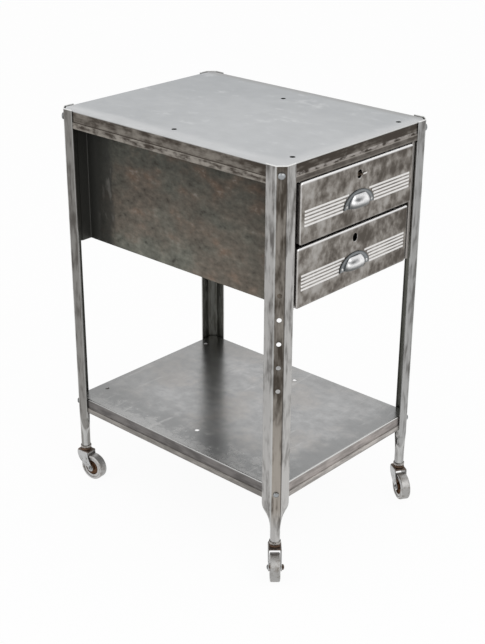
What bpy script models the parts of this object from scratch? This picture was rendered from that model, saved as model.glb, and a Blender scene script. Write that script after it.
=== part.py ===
"""Mobile tool stand in pressed sheet steel.

Four pressed legs carry a hemmed top pan and a hemmed shelf pan. A case with two drawers hangs under
the top, and a stem caster stands in the rolled foot of each leg.
+X is across the drawers, the drawers open towards -Y, +Z is up, and the floor is at z = 0.
"""
import math

import bmesh
import bpy
from mathutils import Matrix, Vector

MM = 0.001

# Whole stand
STAND_WIDTH = 457.2 * MM
STAND_DEPTH = 609.6 * MM
TOP_HEIGHT = 876.0 * MM
FIT_GAP = 0.3 * MM

# Legs: a strip with two flanges, a 45 degree corner face and a return lip on each flange end
LEG_SHEET = 1.6 * MM
LEG_CORNER = 15.0 * MM
LEG_FLANGE = 25.0 * MM
LEG_LIP = 3.6 * MM
LEG_BEND = 3.4 * MM
LEG_LIP_BEND = 0.6 * MM
LEG_PROUD = 1.5 * MM
FOOT_LENGTH = 62.0 * MM
FOOT_TUBE_LENGTH = 24.0 * MM
FOOT_TUBE_RADIUS = 10.25 * MM
FOOT_SEAM = 1.9 * MM
LEG_HOLE_RADIUS = 4.8 * MM
LEG_HOLE_DROP = 250.0 * MM
LEG_HOLE_PITCH = 50.0 * MM
LEG_HOLE_COUNT = 5

# Top pan and shelf pan: plate, turned-down skirt and a hem folded outwards
PAN_SHEET = 1.6 * MM
PAN_BEND = 1.4 * MM
PAN_HEM = 1.4 * MM
TOP_SKIRT = 38.0 * MM
TOP_HEM_HEIGHT = 14.0 * MM
SHELF_SKIRT = 34.3 * MM
SHELF_HEM_HEIGHT = 12.6 * MM
SHELF_ABOVE_FOOT = 8.2 * MM
PAN_HOLE_RADIUS = 4.9 * MM
PAN_HOLE_FROM_SIDE = 65.5 * MM
PAN_HOLE_FROM_END = 32.0 * MM
PAN_HOLE_SPACING = 288.0 * MM
TOP_HOLE_SKEW = -17.0 * MM
SHELF_HOLE_SHIFT = 6.0 * MM

# Bolts and nuts that clamp the pans to the legs
BOLT_RADIUS = 3.2 * MM
BOLT_CLEARANCE = 0.4 * MM
BOLT_TAIL = 3.0 * MM
TOP_BOLT_DROP = 17.5 * MM
TOP_BOLT_HEAD_RADIUS = 7.2 * MM
TOP_BOLT_HEAD_HEIGHT = 4.6 * MM
SHELF_BOLT_DROP = 14.8 * MM
SHELF_BOLT_HEAD_RADIUS = 5.9 * MM
SHELF_BOLT_HEAD_HEIGHT = 4.0 * MM
NUT_RADIUS = 6.3 * MM
NUT_HEIGHT = 5.4 * MM

# Drawer case hung under the top pan
CASE_SHEET = 1.2 * MM
CASE_BEND = 1.2 * MM
CASE_STILE = 7.0 * MM
CASE_REAR_FLANGE = 26.0 * MM
CASE_SHORT = 1.5 * MM
BACK_FLANGE = 11.0 * MM
BACK_FROM_CORNER = 1.8 * MM
RUNNER_SHEET = 1.2 * MM
RUNNER_WIDTH = 14.0 * MM
RUNNER_HEIGHT = 14.0 * MM
RUNNER_SETBACK = 14.0 * MM

# Drawers
UPPER_DRAWER_HEIGHT = 122.5 * MM
LOWER_DRAWER_HEIGHT = 122.5 * MM
DRAWER_TOP_GAP = 2.1 * MM
DRAWER_GAP = 7.4 * MM
DRAWER_LEG_GAP = 14.1 * MM
DRAWER_CASE_GAP = 5.3 * MM
DRAWER_FRONT_INSET = 5.0 * MM
UPPER_DRAWER_AJAR = 5.0 * MM
DRAWER_BACK_GAP = 6.0 * MM
FRONT_SHEET = 1.2 * MM
FRONT_RETURN = 10.0 * MM
FRONT_BEND = 1.8 * MM
FRONT_CORNER = 6.0 * MM
BOX_SHEET = 1.0 * MM
BOX_SIDE_INSET = 2.5 * MM
BOX_FLOOR_RISE = 5.0 * MM
BOX_TOP_DROP = 20.0 * MM
BOX_CORNER = 2.0 * MM

# Pressed ribs on the drawer fronts
RIB_COUNT = 5
RIB_PITCH = 7.05 * MM
RIB_WIDTH = 4.4 * MM
RIB_HEIGHT = 1.6 * MM
RIB_PROFILE = ((1.0, 0.0), (0.75, 0.7), (0.35, 1.0))
RIB_CENTRE_DROP = 72.0 * MM
RIB_END_GAP = 10.0 * MM
RIB_PULL_GAP = 1.0 * MM

# Cup pulls, their rivets, and the lock hole with the lock's tongue
PULL_HALF_WIDTH = 46.6 * MM
PULL_HEIGHT = 32.5 * MM
PULL_FOOT = 15.0 * MM
PULL_DEPTH = 12.6 * MM
PULL_SHEET = 1.2 * MM
CUP_HALF_WIDTH = 31.0 * MM
CUP_HEIGHT = 25.3 * MM
CUP_TAPER = 0.35
CUP_ROOT_POWER = 2.2
CUP_END_POWER = 3.5
CUP_FULLNESS = 0.55
PULL_BASE_DROP = 86.0 * MM
RIVET_RADIUS = 1.8 * MM
RIVET_HEAD_RADIUS = 3.2 * MM
RIVET_HEAD_HEIGHT = 1.8 * MM
RIVET_TAIL_SHARE = 0.7
RIVET_RISE = 5.8 * MM
KEYHOLE_WIDTH = 14.2 * MM
KEYHOLE_HEIGHT = 17.6 * MM
KEYHOLE_DROP = 23.0 * MM
TONGUE_SHEET = 1.0 * MM
TONGUE_HEIGHT = 3.0 * MM
TONGUE_DROP = 1.0 * MM
TONGUE_REACH = 20.0 * MM
TONGUE_PROUD = 3.0 * MM
TONGUE_FOOT = 14.0 * MM
TONGUE_FOOT_SHEET = 1.6 * MM
TONGUE_FOOT_HEIGHT = 7.0 * MM

# Casters
WHEEL_RADIUS = 30.15 * MM
WHEEL_WIDTH = 20.6 * MM
WHEEL_SHOULDER = 1.6 * MM
WHEEL_RIM_DEPTH = 12.0 * MM
WHEEL_RIM_STEP = 1.2 * MM
WHEEL_WEB = 9.0 * MM
HUB_RADIUS = 8.0 * MM
AXLE_RADIUS = 3.2 * MM
AXLE_CLEARANCE = 0.4 * MM
AXLE_HEAD_RADIUS = 5.2 * MM
AXLE_HEAD_HEIGHT = 2.8 * MM
AXLE_NUT_RADIUS = 6.4 * MM
AXLE_NUT_HEIGHT = 4.4 * MM
FORK_SHEET = 2.2 * MM
FORK_CROWN = 4.0 * MM
FORK_BEND = 2.8 * MM
FORK_SIDE_GAP = 1.6 * MM
FORK_TOP_GAP = 4.8 * MM
FORK_CROWN_HALF = 15.0 * MM
FORK_EYE_RADIUS = 8.5 * MM
FORK_EYE_SHARES = (0.98, 0.83, 0.5)
FORK_LEAN_POWER = 2.4
FORK_TAPER_POWER = 4
CASTER_TRAIL = 22.5 * MM
STEM_RADIUS = 5.6 * MM
STEM_LENGTH = 38.0 * MM
STEM_CLEARANCE = 0.5 * MM
COLLAR_RADIUS = 12.3 * MM
COLLAR_HEIGHT = 11.4 * MM
SLEEVE_LENGTH = 34.0 * MM
SLEEVE_CLEARANCE = 0.6 * MM
FRONT_LEFT_SWIVEL_DEG = -137.0
FRONT_RIGHT_SWIVEL_DEG = -122.0
REAR_LEFT_SWIVEL_DEG = -84.0
REAR_RIGHT_SWIVEL_DEG = 43.0

# Places worked out from the sizes above
HALF_X = STAND_WIDTH / 2
HALF_Y = STAND_DEPTH / 2
LEG_REACH = LEG_CORNER + LEG_FLANGE
DIAGONAL = math.sqrt(0.5)
AXLE_Z = WHEEL_RADIUS
CROWN_UNDER_Z = 2 * WHEEL_RADIUS + FORK_TOP_GAP
CROWN_TOP_Z = CROWN_UNDER_Z + FORK_CROWN
COLLAR_TOP_Z = CROWN_TOP_Z + FIT_GAP + COLLAR_HEIGHT
TUBE_END_Z = COLLAR_TOP_Z + FIT_GAP
TUBE_TOP_Z = TUBE_END_Z + FOOT_TUBE_LENGTH
FOOT_TOP_Z = TUBE_TOP_Z + FOOT_LENGTH
SHELF_Z = FOOT_TOP_Z + SHELF_ABOVE_FOOT + SHELF_SKIRT
PAN_CORNER_INSET = LEG_SHEET + FIT_GAP + PAN_HEM
SHELF_SIDE_INSET = LEG_LIP + FIT_GAP + PAN_HEM
STEM_INSET = LEG_CORNER / 2 + FOOT_TUBE_RADIUS * DIAGONAL
DRAWER_HALF = HALF_X - LEG_REACH - DRAWER_LEG_GAP
CASE_INNER = DRAWER_HALF + DRAWER_CASE_GAP
UPPER_TOP_Z = TOP_HEIGHT - TOP_SKIRT - DRAWER_TOP_GAP
UPPER_BOTTOM_Z = UPPER_TOP_Z - UPPER_DRAWER_HEIGHT
LOWER_BOTTOM_Z = UPPER_BOTTOM_Z - DRAWER_GAP - LOWER_DRAWER_HEIGHT
CASE_BOTTOM_Z = LOWER_BOTTOM_Z + CASE_SHORT
DRAWER_FRONT_Y = -HALF_Y + DRAWER_FRONT_INSET
CASE_FRONT_Y = -HALF_Y + PAN_CORNER_INSET + PAN_SHEET + PAN_BEND
BACK_Y = HALF_Y - LEG_CORNER - BACK_FROM_CORNER - BACK_FLANGE
CASE_REAR_Y = BACK_Y - FIT_GAP
FORK_HALF = WHEEL_WIDTH / 2 + FORK_SIDE_GAP + FORK_SHEET
CORNERS = {"front_left": (-1, -1), "front_right": (1, -1), "rear_left": (-1, 1), "rear_right": (1, 1)}
SWIVEL_DEG = {"front_left": FRONT_LEFT_SWIVEL_DEG, "front_right": FRONT_RIGHT_SWIVEL_DEG,
              "rear_left": REAR_LEFT_SWIVEL_DEG, "rear_right": REAR_RIGHT_SWIVEL_DEG}


def clear_scene():
    for old in list(bpy.data.objects):
        bpy.data.objects.remove(old)


def finish(name, colour, roughness):
    """A bare metal material."""
    made = bpy.data.materials.new(name)
    made.use_nodes = True
    shader = made.node_tree.nodes["Principled BSDF"]
    shader.inputs["Base Color"].default_value = (*colour, 1.0)
    shader.inputs["Roughness"].default_value = roughness
    shader.inputs["Metallic"].default_value = 1.0
    return made


def empty(name, parent=None, location=(0, 0, 0), turn_deg=0.0):
    made = bpy.data.objects.new(name, None)
    bpy.context.collection.objects.link(made)
    made.parent = parent
    made.location = location
    made.rotation_euler.z = math.radians(turn_deg)
    return made


def loft(bm, loops, closed=False):
    """Skin equal loops of points; the ends are capped, or joined to each other when closed."""
    rings = [[bm.verts.new(point) for point in loop] for loop in loops]
    pairs = list(zip(rings, rings[1:]))
    if closed:
        pairs.append((rings[-1], rings[0]))
    count = len(rings[0])
    for ring, following in pairs:
        for i in range(count):
            j = (i + 1) % count
            bm.faces.new((ring[i], ring[j], following[j], following[i]))
    if not closed:
        bm.faces.new(rings[0])
        bm.faces.new(rings[-1])


def piece(name, build, parent, material, location=(0, 0, 0), turn=None):
    """One named object whose mesh is filled by build(bm)."""
    bm = bmesh.new()
    build(bm)
    bmesh.ops.recalc_face_normals(bm, faces=bm.faces)
    mesh = bpy.data.meshes.new(name)
    bm.to_mesh(mesh)
    bm.free()
    mesh.shade_smooth()
    mesh.set_sharp_from_angle(angle=math.radians(35))
    made = bpy.data.objects.new(name, mesh)
    bpy.context.collection.objects.link(made)
    made.parent = parent
    made.location = location
    if turn is not None:
        made.rotation_euler = turn.to_euler()
    if material:
        mesh.materials.append(material)
    return made


def combine(target, build, operation):
    """Cut or join target with a hidden helper mesh in the same local frame."""
    helper = piece(target.name + "_" + operation.lower(), build, target.parent, None, target.location)
    helper.rotation_euler = target.rotation_euler
    helper.hide_render = True
    helper.display_type = "WIRE"
    modifier = target.modifiers.new(operation.title(), "BOOLEAN")
    modifier.operation = operation
    modifier.object = helper


def circle(radius, sides):
    """Points round a circle."""
    points = []
    for i in range(sides):
        angle = math.tau * i / sides
        points.append((radius * math.cos(angle), radius * math.sin(angle)))
    return points


def rod(bm, start, end, radius, sides):
    """A straight round bar between two points."""
    start = Vector(start)
    end = Vector(end)
    turn = (end - start).to_track_quat("Z", "Y")
    ring = [turn @ Vector((across, other, 0)) for across, other in circle(radius, sides)]
    loft(bm, [[start + point for point in ring], [end + point for point in ring]])


def turned(bm, profile, sides, place, closed=False):
    """Turn (radius, height) points about an axis; place maps (across, across, along) to local axes."""
    loops = []
    for radius, height in profile:
        loops.append([place(across, other, height) for across, other in circle(radius, sides)])
    loft(bm, loops, closed)


def along_z(a, b, h):
    return Vector((a, b, h))


def along_y(a, b, h):
    return Vector((a, h, b))


def bent_line(corners, inner_bends, sheet, bend_steps, longest=None):
    """Points and left normals along a bent sheet's face, with the sheet on the left of the line."""
    corners = [Vector(corner) for corner in corners]
    points = [corners[0]]
    for i in range(1, len(corners) - 1):
        before = (corners[i] - corners[i - 1]).normalized()
        after = (corners[i + 1] - corners[i]).normalized()
        turn = math.atan2(before.x * after.y - before.y * after.x, before.dot(after))
        radius = inner_bends[i - 1] + (sheet if turn > 0 else 0)
        reach = radius * math.tan(abs(turn) / 2)
        side = Vector((-before.y, before.x)) * math.copysign(1, turn)
        centre = corners[i] - before * reach + side * radius
        for step in range(bend_steps + 1):
            angle = turn * step / bend_steps
            points.append(centre - Matrix.Rotation(angle, 2) @ side * radius)
    points.append(corners[-1])
    if longest:
        filled = [points[0]]
        for start, end in zip(points, points[1:]):
            parts = math.ceil((end - start).length / longest)
            filled += [start.lerp(end, part / parts) for part in range(1, parts + 1)]
        points = filled
    normals = []
    for i, point in enumerate(points):
        ways = []
        if i > 0:
            ways.append((point - points[i - 1]).normalized())
        if i < len(points) - 1:
            ways.append((points[i + 1] - point).normalized())
        normal = Vector((-sum(way.y for way in ways), sum(way.x for way in ways))).normalized()
        lean = normal.dot(Vector((-ways[0].y, ways[0].x)))
        normals.append(normal / lean)
    return points, normals


def sheet_outline(corners, inner_bend, sheet, bend_steps=3):
    """Closed outline of a bent sheet of even thickness."""
    bends = [inner_bend] * (len(corners) - 2)
    points, normals = bent_line(corners, bends, sheet, bend_steps)
    return points + [point + normal * sheet for point, normal in zip(points, normals)][::-1]


def rounded_outline(corners, radii, steps):
    """Closed convex outline, anticlockwise, with each corner rounded by its radius."""
    outline = []
    count = len(corners)
    for i in range(count):
        here = Vector(corners[i])
        before = (here - Vector(corners[i - 1])).normalized()
        after = (Vector(corners[(i + 1) % count]) - here).normalized()
        turn = math.atan2(before.x * after.y - before.y * after.x, before.dot(after))
        reach = radii[i] * math.tan(turn / 2)
        side = Vector((-before.y, before.x))
        centre = here - before * reach + side * radii[i]
        for step in range(steps + 1):
            outline.append(centre - Matrix.Rotation(turn * step / steps, 2) @ side * radii[i])
    return outline


def quarter(steps):
    """Cosine and sine at even steps over a quarter turn."""
    angles = [math.pi / 2 * step / steps for step in range(steps + 1)]
    return [(math.cos(angle), math.sin(angle)) for angle in angles]


# Pans

def pan_outline(side_inset, corner_inset, round_radius):
    """The stand's outline with cut corners, drawn in at the sides and at the 45 degree faces."""
    half_x = HALF_X - side_inset
    half_y = HALF_Y - side_inset
    face = HALF_X + HALF_Y - LEG_CORNER - corner_inset / DIAGONAL
    cut_x = face - half_y
    cut_y = face - half_x
    corners = [(half_x, -cut_y), (half_x, cut_y), (cut_x, half_y), (-cut_x, half_y),
               (-half_x, cut_y), (-half_x, -cut_y), (-cut_x, -half_y), (cut_x, -half_y)]
    return rounded_outline(corners, [round_radius] * len(corners), 1)


def build_pan(bm, side_inset, skirt, hem_height):
    """A plate with a skirt; the hem stands proud of the skirt by one fold of the sheet."""
    bend_out = PAN_BEND + PAN_SHEET
    skirt_round = LEG_BEND - FIT_GAP - PAN_HEM
    profile = []
    for cosine, sine in quarter(3):
        profile.append((bend_out * (1 - sine), -bend_out * (1 - cosine)))
    fold = (PAN_HEM + PAN_SHEET) / 2
    hem_top = -(skirt - hem_height)
    profile += [(0, hem_top), (-PAN_HEM, hem_top), (-PAN_HEM, -skirt + fold)]
    for cosine, sine in quarter(2)[1:]:
        profile.append((fold - PAN_HEM - fold * cosine, -skirt + fold * (1 - sine)))
    for cosine, sine in quarter(2)[::-1][1:]:
        profile.append((fold - PAN_HEM + fold * cosine, -skirt + fold * (1 - sine)))
    for cosine, sine in quarter(3):
        profile.append((PAN_SHEET + PAN_BEND * (1 - cosine), -bend_out + PAN_BEND * sine))
    loops = []
    for inset, drop in profile:
        corner_round = max(skirt_round - inset, FIT_GAP)
        outline = pan_outline(side_inset + inset, PAN_CORNER_INSET + inset, corner_round)
        loops.append([(point.x, point.y, drop) for point in outline])
    loft(bm, loops)


def pan_hole_places(end, near_shift, far_shift):
    """Two pairs of plate holes, set out from one end of the stand (-1 front, 1 rear)."""
    near = end * (HALF_Y - PAN_HOLE_FROM_END)
    far = near - end * PAN_HOLE_SPACING
    half = HALF_X - PAN_HOLE_FROM_SIDE
    return [(x + shift, y) for x in (-half, half) for y, shift in ((near, near_shift), (far, far_shift))]


def corner_point(corner, inset):
    """A point on the 45 degree line through a corner, inset from the leg's outer corner face."""
    sign_x, sign_y = CORNERS[corner]
    shift = LEG_CORNER / 2 + inset * DIAGONAL
    return Vector((sign_x * (HALF_X - shift), sign_y * (HALF_Y - shift), 0))


def corner_rod(bm, corner, height, radius, start, end, sides=10):
    """A round bar through a corner face, from one inset to another."""
    lift = Vector((0, 0, height))
    rod(bm, corner_point(corner, start) + lift, corner_point(corner, end) + lift, radius, sides)


def add_pan(name, parent, material, height, side_inset, skirt, hem_height, bolt_drop, hole_places):
    def pressing(bm):
        build_pan(bm, side_inset, skirt, hem_height)

    def holes(bm):
        for x, y in hole_places:
            rod(bm, (x, y, -2 * PAN_SHEET), (x, y, PAN_SHEET), PAN_HOLE_RADIUS, 12)
        reach = PAN_CORNER_INSET + PAN_SHEET
        for corner in CORNERS:
            corner_rod(bm, corner, -bolt_drop, BOLT_RADIUS + BOLT_CLEARANCE, 0, 2 * reach)

    pan = piece(name, pressing, parent, material, (0, 0, height))
    combine(pan, holes, "DIFFERENCE")


# Legs

def leg_sections():
    """Outer and inner lines of the pressed section, and of the tube that it is rolled into."""
    corners = [(LEG_LIP, LEG_REACH), (0, LEG_REACH), (0, LEG_CORNER),
               (LEG_CORNER, 0), (LEG_REACH, 0), (LEG_REACH, LEG_LIP)]
    bends = [LEG_LIP_BEND, LEG_BEND, LEG_BEND, LEG_LIP_BEND]
    points, normals = bent_line(corners, bends, LEG_SHEET, 2, longest=LEG_FLANGE / 3)
    inner = [point + normal * LEG_SHEET for point, normal in zip(points, normals)]
    lengths = [0.0]
    for start, end in zip(points, points[1:]):
        lengths.append(lengths[-1] + (end - start).length)
    centre = Vector((STEM_INSET, STEM_INSET))
    inward = Vector((DIAGONAL, DIAGONAL))
    across = Vector((DIAGONAL, -DIAGONAL))
    widest = math.pi - FOOT_SEAM / 2 / FOOT_TUBE_RADIUS
    tube_outer = []
    tube_inner = []
    for length in lengths:
        angle = widest * (2 * length / lengths[-1] - 1)
        way = across * math.sin(angle) - inward * math.cos(angle)
        tube_outer.append(centre + way * FOOT_TUBE_RADIUS)
        tube_inner.append(centre + way * (FOOT_TUBE_RADIUS - LEG_SHEET))
    return points + inner[::-1], tube_outer + tube_inner[::-1]


def build_leg(bm, corner):
    sign_x, sign_y = CORNERS[corner]
    pressed, tube = leg_sections()
    steps = 6
    levels = [(TOP_HEIGHT + LEG_PROUD, 0.0)]
    for step in range(steps + 1):
        share = step / steps
        levels.append((FOOT_TOP_Z - FOOT_LENGTH * share, share * share * (3 - 2 * share)))
    levels.append((TUBE_END_Z, 1.0))
    loops = []
    for height, rolled in levels:
        loop = []
        for flat, round_point in zip(pressed, tube):
            place = flat.lerp(round_point, rolled)
            loop.append((sign_x * (HALF_X - place.x), sign_y * (HALF_Y - place.y), height))
        loops.append(loop)
    loft(bm, loops)


def build_leg_cuts(bm, corner):
    """Bolt holes, the row of shelf holes, and the lips trimmed off beside the top pan's skirt."""
    sign_x, sign_y = CORNERS[corner]
    reach = 3 * LEG_SHEET
    bolt_hole = BOLT_RADIUS + BOLT_CLEARANCE
    corner_rod(bm, corner, TOP_HEIGHT - TOP_BOLT_DROP, bolt_hole, -reach, reach)
    corner_rod(bm, corner, SHELF_Z - SHELF_BOLT_DROP, bolt_hole, -reach, reach)
    for i in range(LEG_HOLE_COUNT):
        height = TOP_HEIGHT - LEG_HOLE_DROP - i * LEG_HOLE_PITCH
        corner_rod(bm, corner, height, LEG_HOLE_RADIUS, -reach, reach)
    low = TOP_HEIGHT - TOP_SKIRT - 2 * PAN_SHEET
    high = TOP_HEIGHT + 2 * LEG_PROUD
    near = LEG_SHEET + FIT_GAP / 4
    far = 2 * LEG_LIP
    start = LEG_REACH - 2 * LEG_SHEET - LEG_LIP_BEND
    end = LEG_REACH + LEG_SHEET
    for across_x in (True, False):
        outline = [(near, start), (far, start), (far, end), (near, end)]
        loops = []
        for height in (low, high):
            loop = []
            for depth, along in outline:
                u, v = (along, depth) if across_x else (depth, along)
                loop.append((sign_x * (HALF_X - u), sign_y * (HALF_Y - v), height))
            loops.append(loop)
        loft(bm, loops)


# Bolts and nuts

def corner_axis(corner):
    sign_x, sign_y = CORNERS[corner]
    return Vector((sign_x, sign_y, 0)).to_track_quat("Z", "Y").to_matrix()


def build_bolt(bm, head_radius, head_height, length):
    """Round-head bolt on local Z, with the head's seat at z = 0."""
    profile = []
    for cosine, sine in quarter(4)[:-1]:
        profile.append((head_radius * cosine, head_height * sine))
    profile = profile[::-1] + [(BOLT_RADIUS, 0), (BOLT_RADIUS, -length)]
    turned(bm, profile, 10, along_z)


def hexagon(radius, sides=12):
    """Points on a hexagon, mid-sides and corners in turn."""
    points = []
    for i in range(sides):
        angle = math.tau * i / sides
        reach = radius if i % 2 else radius * math.cos(math.pi / 6)
        points.append((reach * math.cos(angle), reach * math.sin(angle)))
    return points


def build_nut(bm):
    """Hexagon nut on local Z, with its seat at z = 0 and its body below."""
    outside = hexagon(NUT_RADIUS)
    bore = circle(BOLT_RADIUS + BOLT_CLEARANCE, len(outside))
    loops = []
    for outline, height in ((outside, 0), (outside, -NUT_HEIGHT), (bore, -NUT_HEIGHT), (bore, 0)):
        loops.append([(x, y, height) for x, y in outline])
    loft(bm, loops, closed=True)


def add_fastener(prefix, corner, parent, material, height, head_radius, head_height):
    seat = PAN_CORNER_INSET + PAN_SHEET + FIT_GAP
    length = FIT_GAP + seat + NUT_HEIGHT + BOLT_TAIL
    turn = corner_axis(corner)
    lift = Vector((0, 0, height))

    def bolt(bm):
        build_bolt(bm, head_radius, head_height, length)

    piece(prefix + "_bolt_" + corner, bolt, parent, material, corner_point(corner, -FIT_GAP) + lift, turn)
    piece(prefix + "_nut_" + corner, build_nut, parent, material, corner_point(corner, seat) + lift, turn)


# Drawer case and runners

def prism(bm, outline, low, high, place):
    loft(bm, [[place(a, b, low) for a, b in outline], [place(a, b, high) for a, b in outline]])


def build_case_side(bm, side):
    """Channel: a narrow stile at the front, the side itself, and a wide flange at the rear."""
    corners = [(-CASE_INNER - CASE_SHEET - CASE_STILE, CASE_FRONT_Y), (-CASE_INNER, CASE_FRONT_Y),
               (-CASE_INNER, CASE_REAR_Y), (-CASE_INNER - CASE_REAR_FLANGE, CASE_REAR_Y)]
    outline = sheet_outline(corners, CASE_BEND, CASE_SHEET)
    high = TOP_HEIGHT - PAN_SHEET - FIT_GAP
    prism(bm, outline, CASE_BOTTOM_Z, high, lambda a, b, h: Vector((-side * a, b, h)))


def build_case_back(bm):
    """Plate between the rear legs, with an end flange against each leg."""
    end = HALF_X - LEG_SHEET - FIT_GAP
    corners = [(-end, BACK_Y + BACK_FLANGE), (-end, BACK_Y), (end, BACK_Y), (end, BACK_Y + BACK_FLANGE)]
    high = TOP_HEIGHT - TOP_SKIRT - FIT_GAP
    prism(bm, sheet_outline(corners, CASE_BEND, CASE_SHEET), CASE_BOTTOM_Z, high, along_z)


def build_runner(bm, side, floor_z):
    """Angle along a case side; the drawer box slides on its lower leg."""
    face = CASE_INNER - FIT_GAP
    low = floor_z - FIT_GAP - RUNNER_SHEET
    corners = [(-face, low + RUNNER_HEIGHT), (-face, low), (-face + RUNNER_WIDTH, low)]
    outline = sheet_outline(corners, RUNNER_SHEET / 2, RUNNER_SHEET, 2)
    start = CASE_FRONT_Y + RUNNER_SETBACK
    end = CASE_REAR_Y - CASE_SHEET - FIT_GAP
    prism(bm, outline, start, end, lambda a, b, h: Vector((-side * a, h, b)))


# Drawers, each in a frame with x = 0 on its middle, y = 0 on its front face and z = 0 on its lower edge

def build_drawer_front(bm, height):
    """Shallow tray with rolled edges, open at the back."""
    bend_out = FRONT_BEND + FRONT_SHEET
    profile = []
    for cosine, sine in quarter(3):
        profile.append((bend_out * (1 - sine), bend_out * (1 - cosine)))
    profile += [(0, FRONT_RETURN), (FRONT_SHEET, FRONT_RETURN)]
    for cosine, sine in quarter(3):
        profile.append((FRONT_SHEET + FRONT_BEND * (1 - cosine), bend_out - FRONT_BEND * sine))
    loops = []
    for inset, depth in profile:
        half = DRAWER_HALF - inset
        corners = [(-half, inset), (half, inset), (half, height - inset), (-half, height - inset)]
        outline = rounded_outline(corners, [max(FRONT_CORNER - inset, FIT_GAP)] * 4, 2)
        loops.append([(point.x, depth, point.y) for point in outline])
    loft(bm, loops)


def stadium(centre_x, centre_z, half_length, half_width, upright=False):
    """Long outline with round ends."""
    points = []
    straight = half_length - half_width
    for end in (1, -1):
        for step in range(5):
            angle = -math.pi / 2 + math.pi * step / 4
            along = end * (straight + half_width * math.cos(angle))
            across = end * half_width * math.sin(angle)
            x, z = (across, along) if upright else (along, across)
            points.append((centre_x + x, centre_z + z))
    return points


def pull_outline_x(rise):
    """Half width of the pull's rim at a height above its base."""
    share = min(abs(rise) / PULL_HEIGHT, 1.0)
    return PULL_HALF_WIDTH * math.sqrt(1 - share * share)


def build_ribs(bm, height):
    """Half-round ribs on both sides of the pull, each ending short of its rim."""
    base = height - PULL_BASE_DROP
    outer = DRAWER_HALF - RIB_END_GAP
    middle = (RIB_COUNT - 1) / 2
    for i in range(RIB_COUNT):
        level = height - RIB_CENTRE_DROP + (middle - i) * RIB_PITCH
        inner = pull_outline_x(max(level - RIB_WIDTH / 2 - base, 0)) + RIB_PULL_GAP
        for side in (-1, 1):
            loops = []
            root = (1.0, FRONT_SHEET / 2)
            for share, depth in (root, *((share, -rise * RIB_HEIGHT) for share, rise in RIB_PROFILE)):
                half_width = RIB_WIDTH / 2 * share
                half_length = (outer - inner) / 2 - RIB_WIDTH / 2 + half_width
                outline = stadium(side * (outer + inner) / 2, level, half_length, half_width)
                loops.append([(x, depth, z) for x, z in outline])
            loft(bm, loops)


def rivet_places(height):
    base = height - PULL_BASE_DROP
    outer = pull_outline_x(RIVET_RISE)
    return [(side * (outer - PULL_FOOT / 2), base + RIVET_RISE) for side in (-1, 1)]


def build_front_cuts(bm, height, margin):
    """Lock hole and rivet holes, through the front and the box's front wall."""
    start = -RIB_HEIGHT - FRONT_SHEET
    end = FRONT_SHEET + BOX_SHEET + FRONT_SHEET
    half_height = KEYHOLE_HEIGHT / 2 + margin
    half_width = KEYHOLE_WIDTH / 2 + margin
    slot = stadium(0, height - KEYHOLE_DROP, half_height, half_width, upright=True)
    loft(bm, [[(x, start, z) for x, z in slot], [(x, end, z) for x, z in slot]])
    for x, z in rivet_places(height):
        rod(bm, (x, start, z), (x, end, z), RIVET_RADIUS + FIT_GAP, 8)


def build_drawer_box(bm, height):
    """Open box behind the front."""
    half = DRAWER_HALF - BOX_SIDE_INSET
    start = FRONT_SHEET + FIT_GAP
    end = BACK_Y - CASE_SHEET - FIT_GAP - DRAWER_BACK_GAP - DRAWER_FRONT_Y
    floor = BOX_FLOOR_RISE
    top = height - BOX_TOP_DROP
    loops = []
    for inset, level in ((0, floor), (0, top), (BOX_SHEET, top), (BOX_SHEET, floor + BOX_SHEET)):
        corners = [(-half + inset, start + inset), (half - inset, start + inset),
                   (half - inset, end - inset), (-half + inset, end - inset)]
        outline = rounded_outline(corners, [BOX_CORNER - inset] * 4, 2)
        loops.append([(point.x, point.y, level) for point in outline])
    loft(bm, loops)


def cup_grid(bm, base, inset, lift, columns, rows):
    """Barrel-shaped cup from its lower lip up to its root on the rim, in rows from right to left."""
    grid = []
    for row in range(rows + 1):
        rise = math.sin(math.pi / 2 * row / rows)
        level = (CUP_HEIGHT - inset) * rise
        half = CUP_HALF_WIDTH * (1 - CUP_TAPER * level / CUP_HEIGHT) - inset
        root = max(1 - rise ** CUP_ROOT_POWER, 0) ** CUP_FULLNESS
        line = []
        for column in range(columns + 1):
            share = math.sin(math.pi / 2 * (1 - 2 * column / columns))
            end = max(1 - abs(share) ** CUP_END_POWER, 0) ** CUP_FULLNESS
            out = lift + (PULL_DEPTH - PULL_SHEET) * root * end
            line.append(bm.verts.new((half * share, -FIT_GAP - out, base + level)))
        grid.append(line)
    return grid


def build_pull(bm, height):
    """Half-round rim with a cup that is open below, all of one sheet."""
    base = height - PULL_BASE_DROP
    columns = 10
    rows = 5
    rims = []
    lips = []
    for inset, lift in ((0, PULL_SHEET), (PULL_SHEET, 0)):
        grid = cup_grid(bm, base, inset, lift, columns, rows)
        for row, following in zip(grid, grid[1:]):
            for i in range(columns):
                bm.faces.new((row[i], row[i + 1], following[i + 1], following[i]))
        root = [row[0] for row in grid] + grid[-1][1:-1] + [row[-1] for row in grid[::-1]]
        rim = []
        for point in root:
            angle = math.atan2((point.co.z - base) / PULL_HEIGHT, point.co.x / PULL_HALF_WIDTH)
            rim.append(bm.verts.new((PULL_HALF_WIDTH * math.cos(angle), -FIT_GAP - lift,
                                     base + PULL_HEIGHT * math.sin(angle))))
        for i in range(len(root) - 1):
            bm.faces.new((rim[i], rim[i + 1], root[i + 1], root[i]))
        rims.append(rim)
        lips.append([rim[0]] + grid[0] + [rim[-1]])
    for front, back in (rims, lips):
        for i in range(len(front) - 1):
            bm.faces.new((front[i], front[i + 1], back[i + 1], back[i]))


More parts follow.
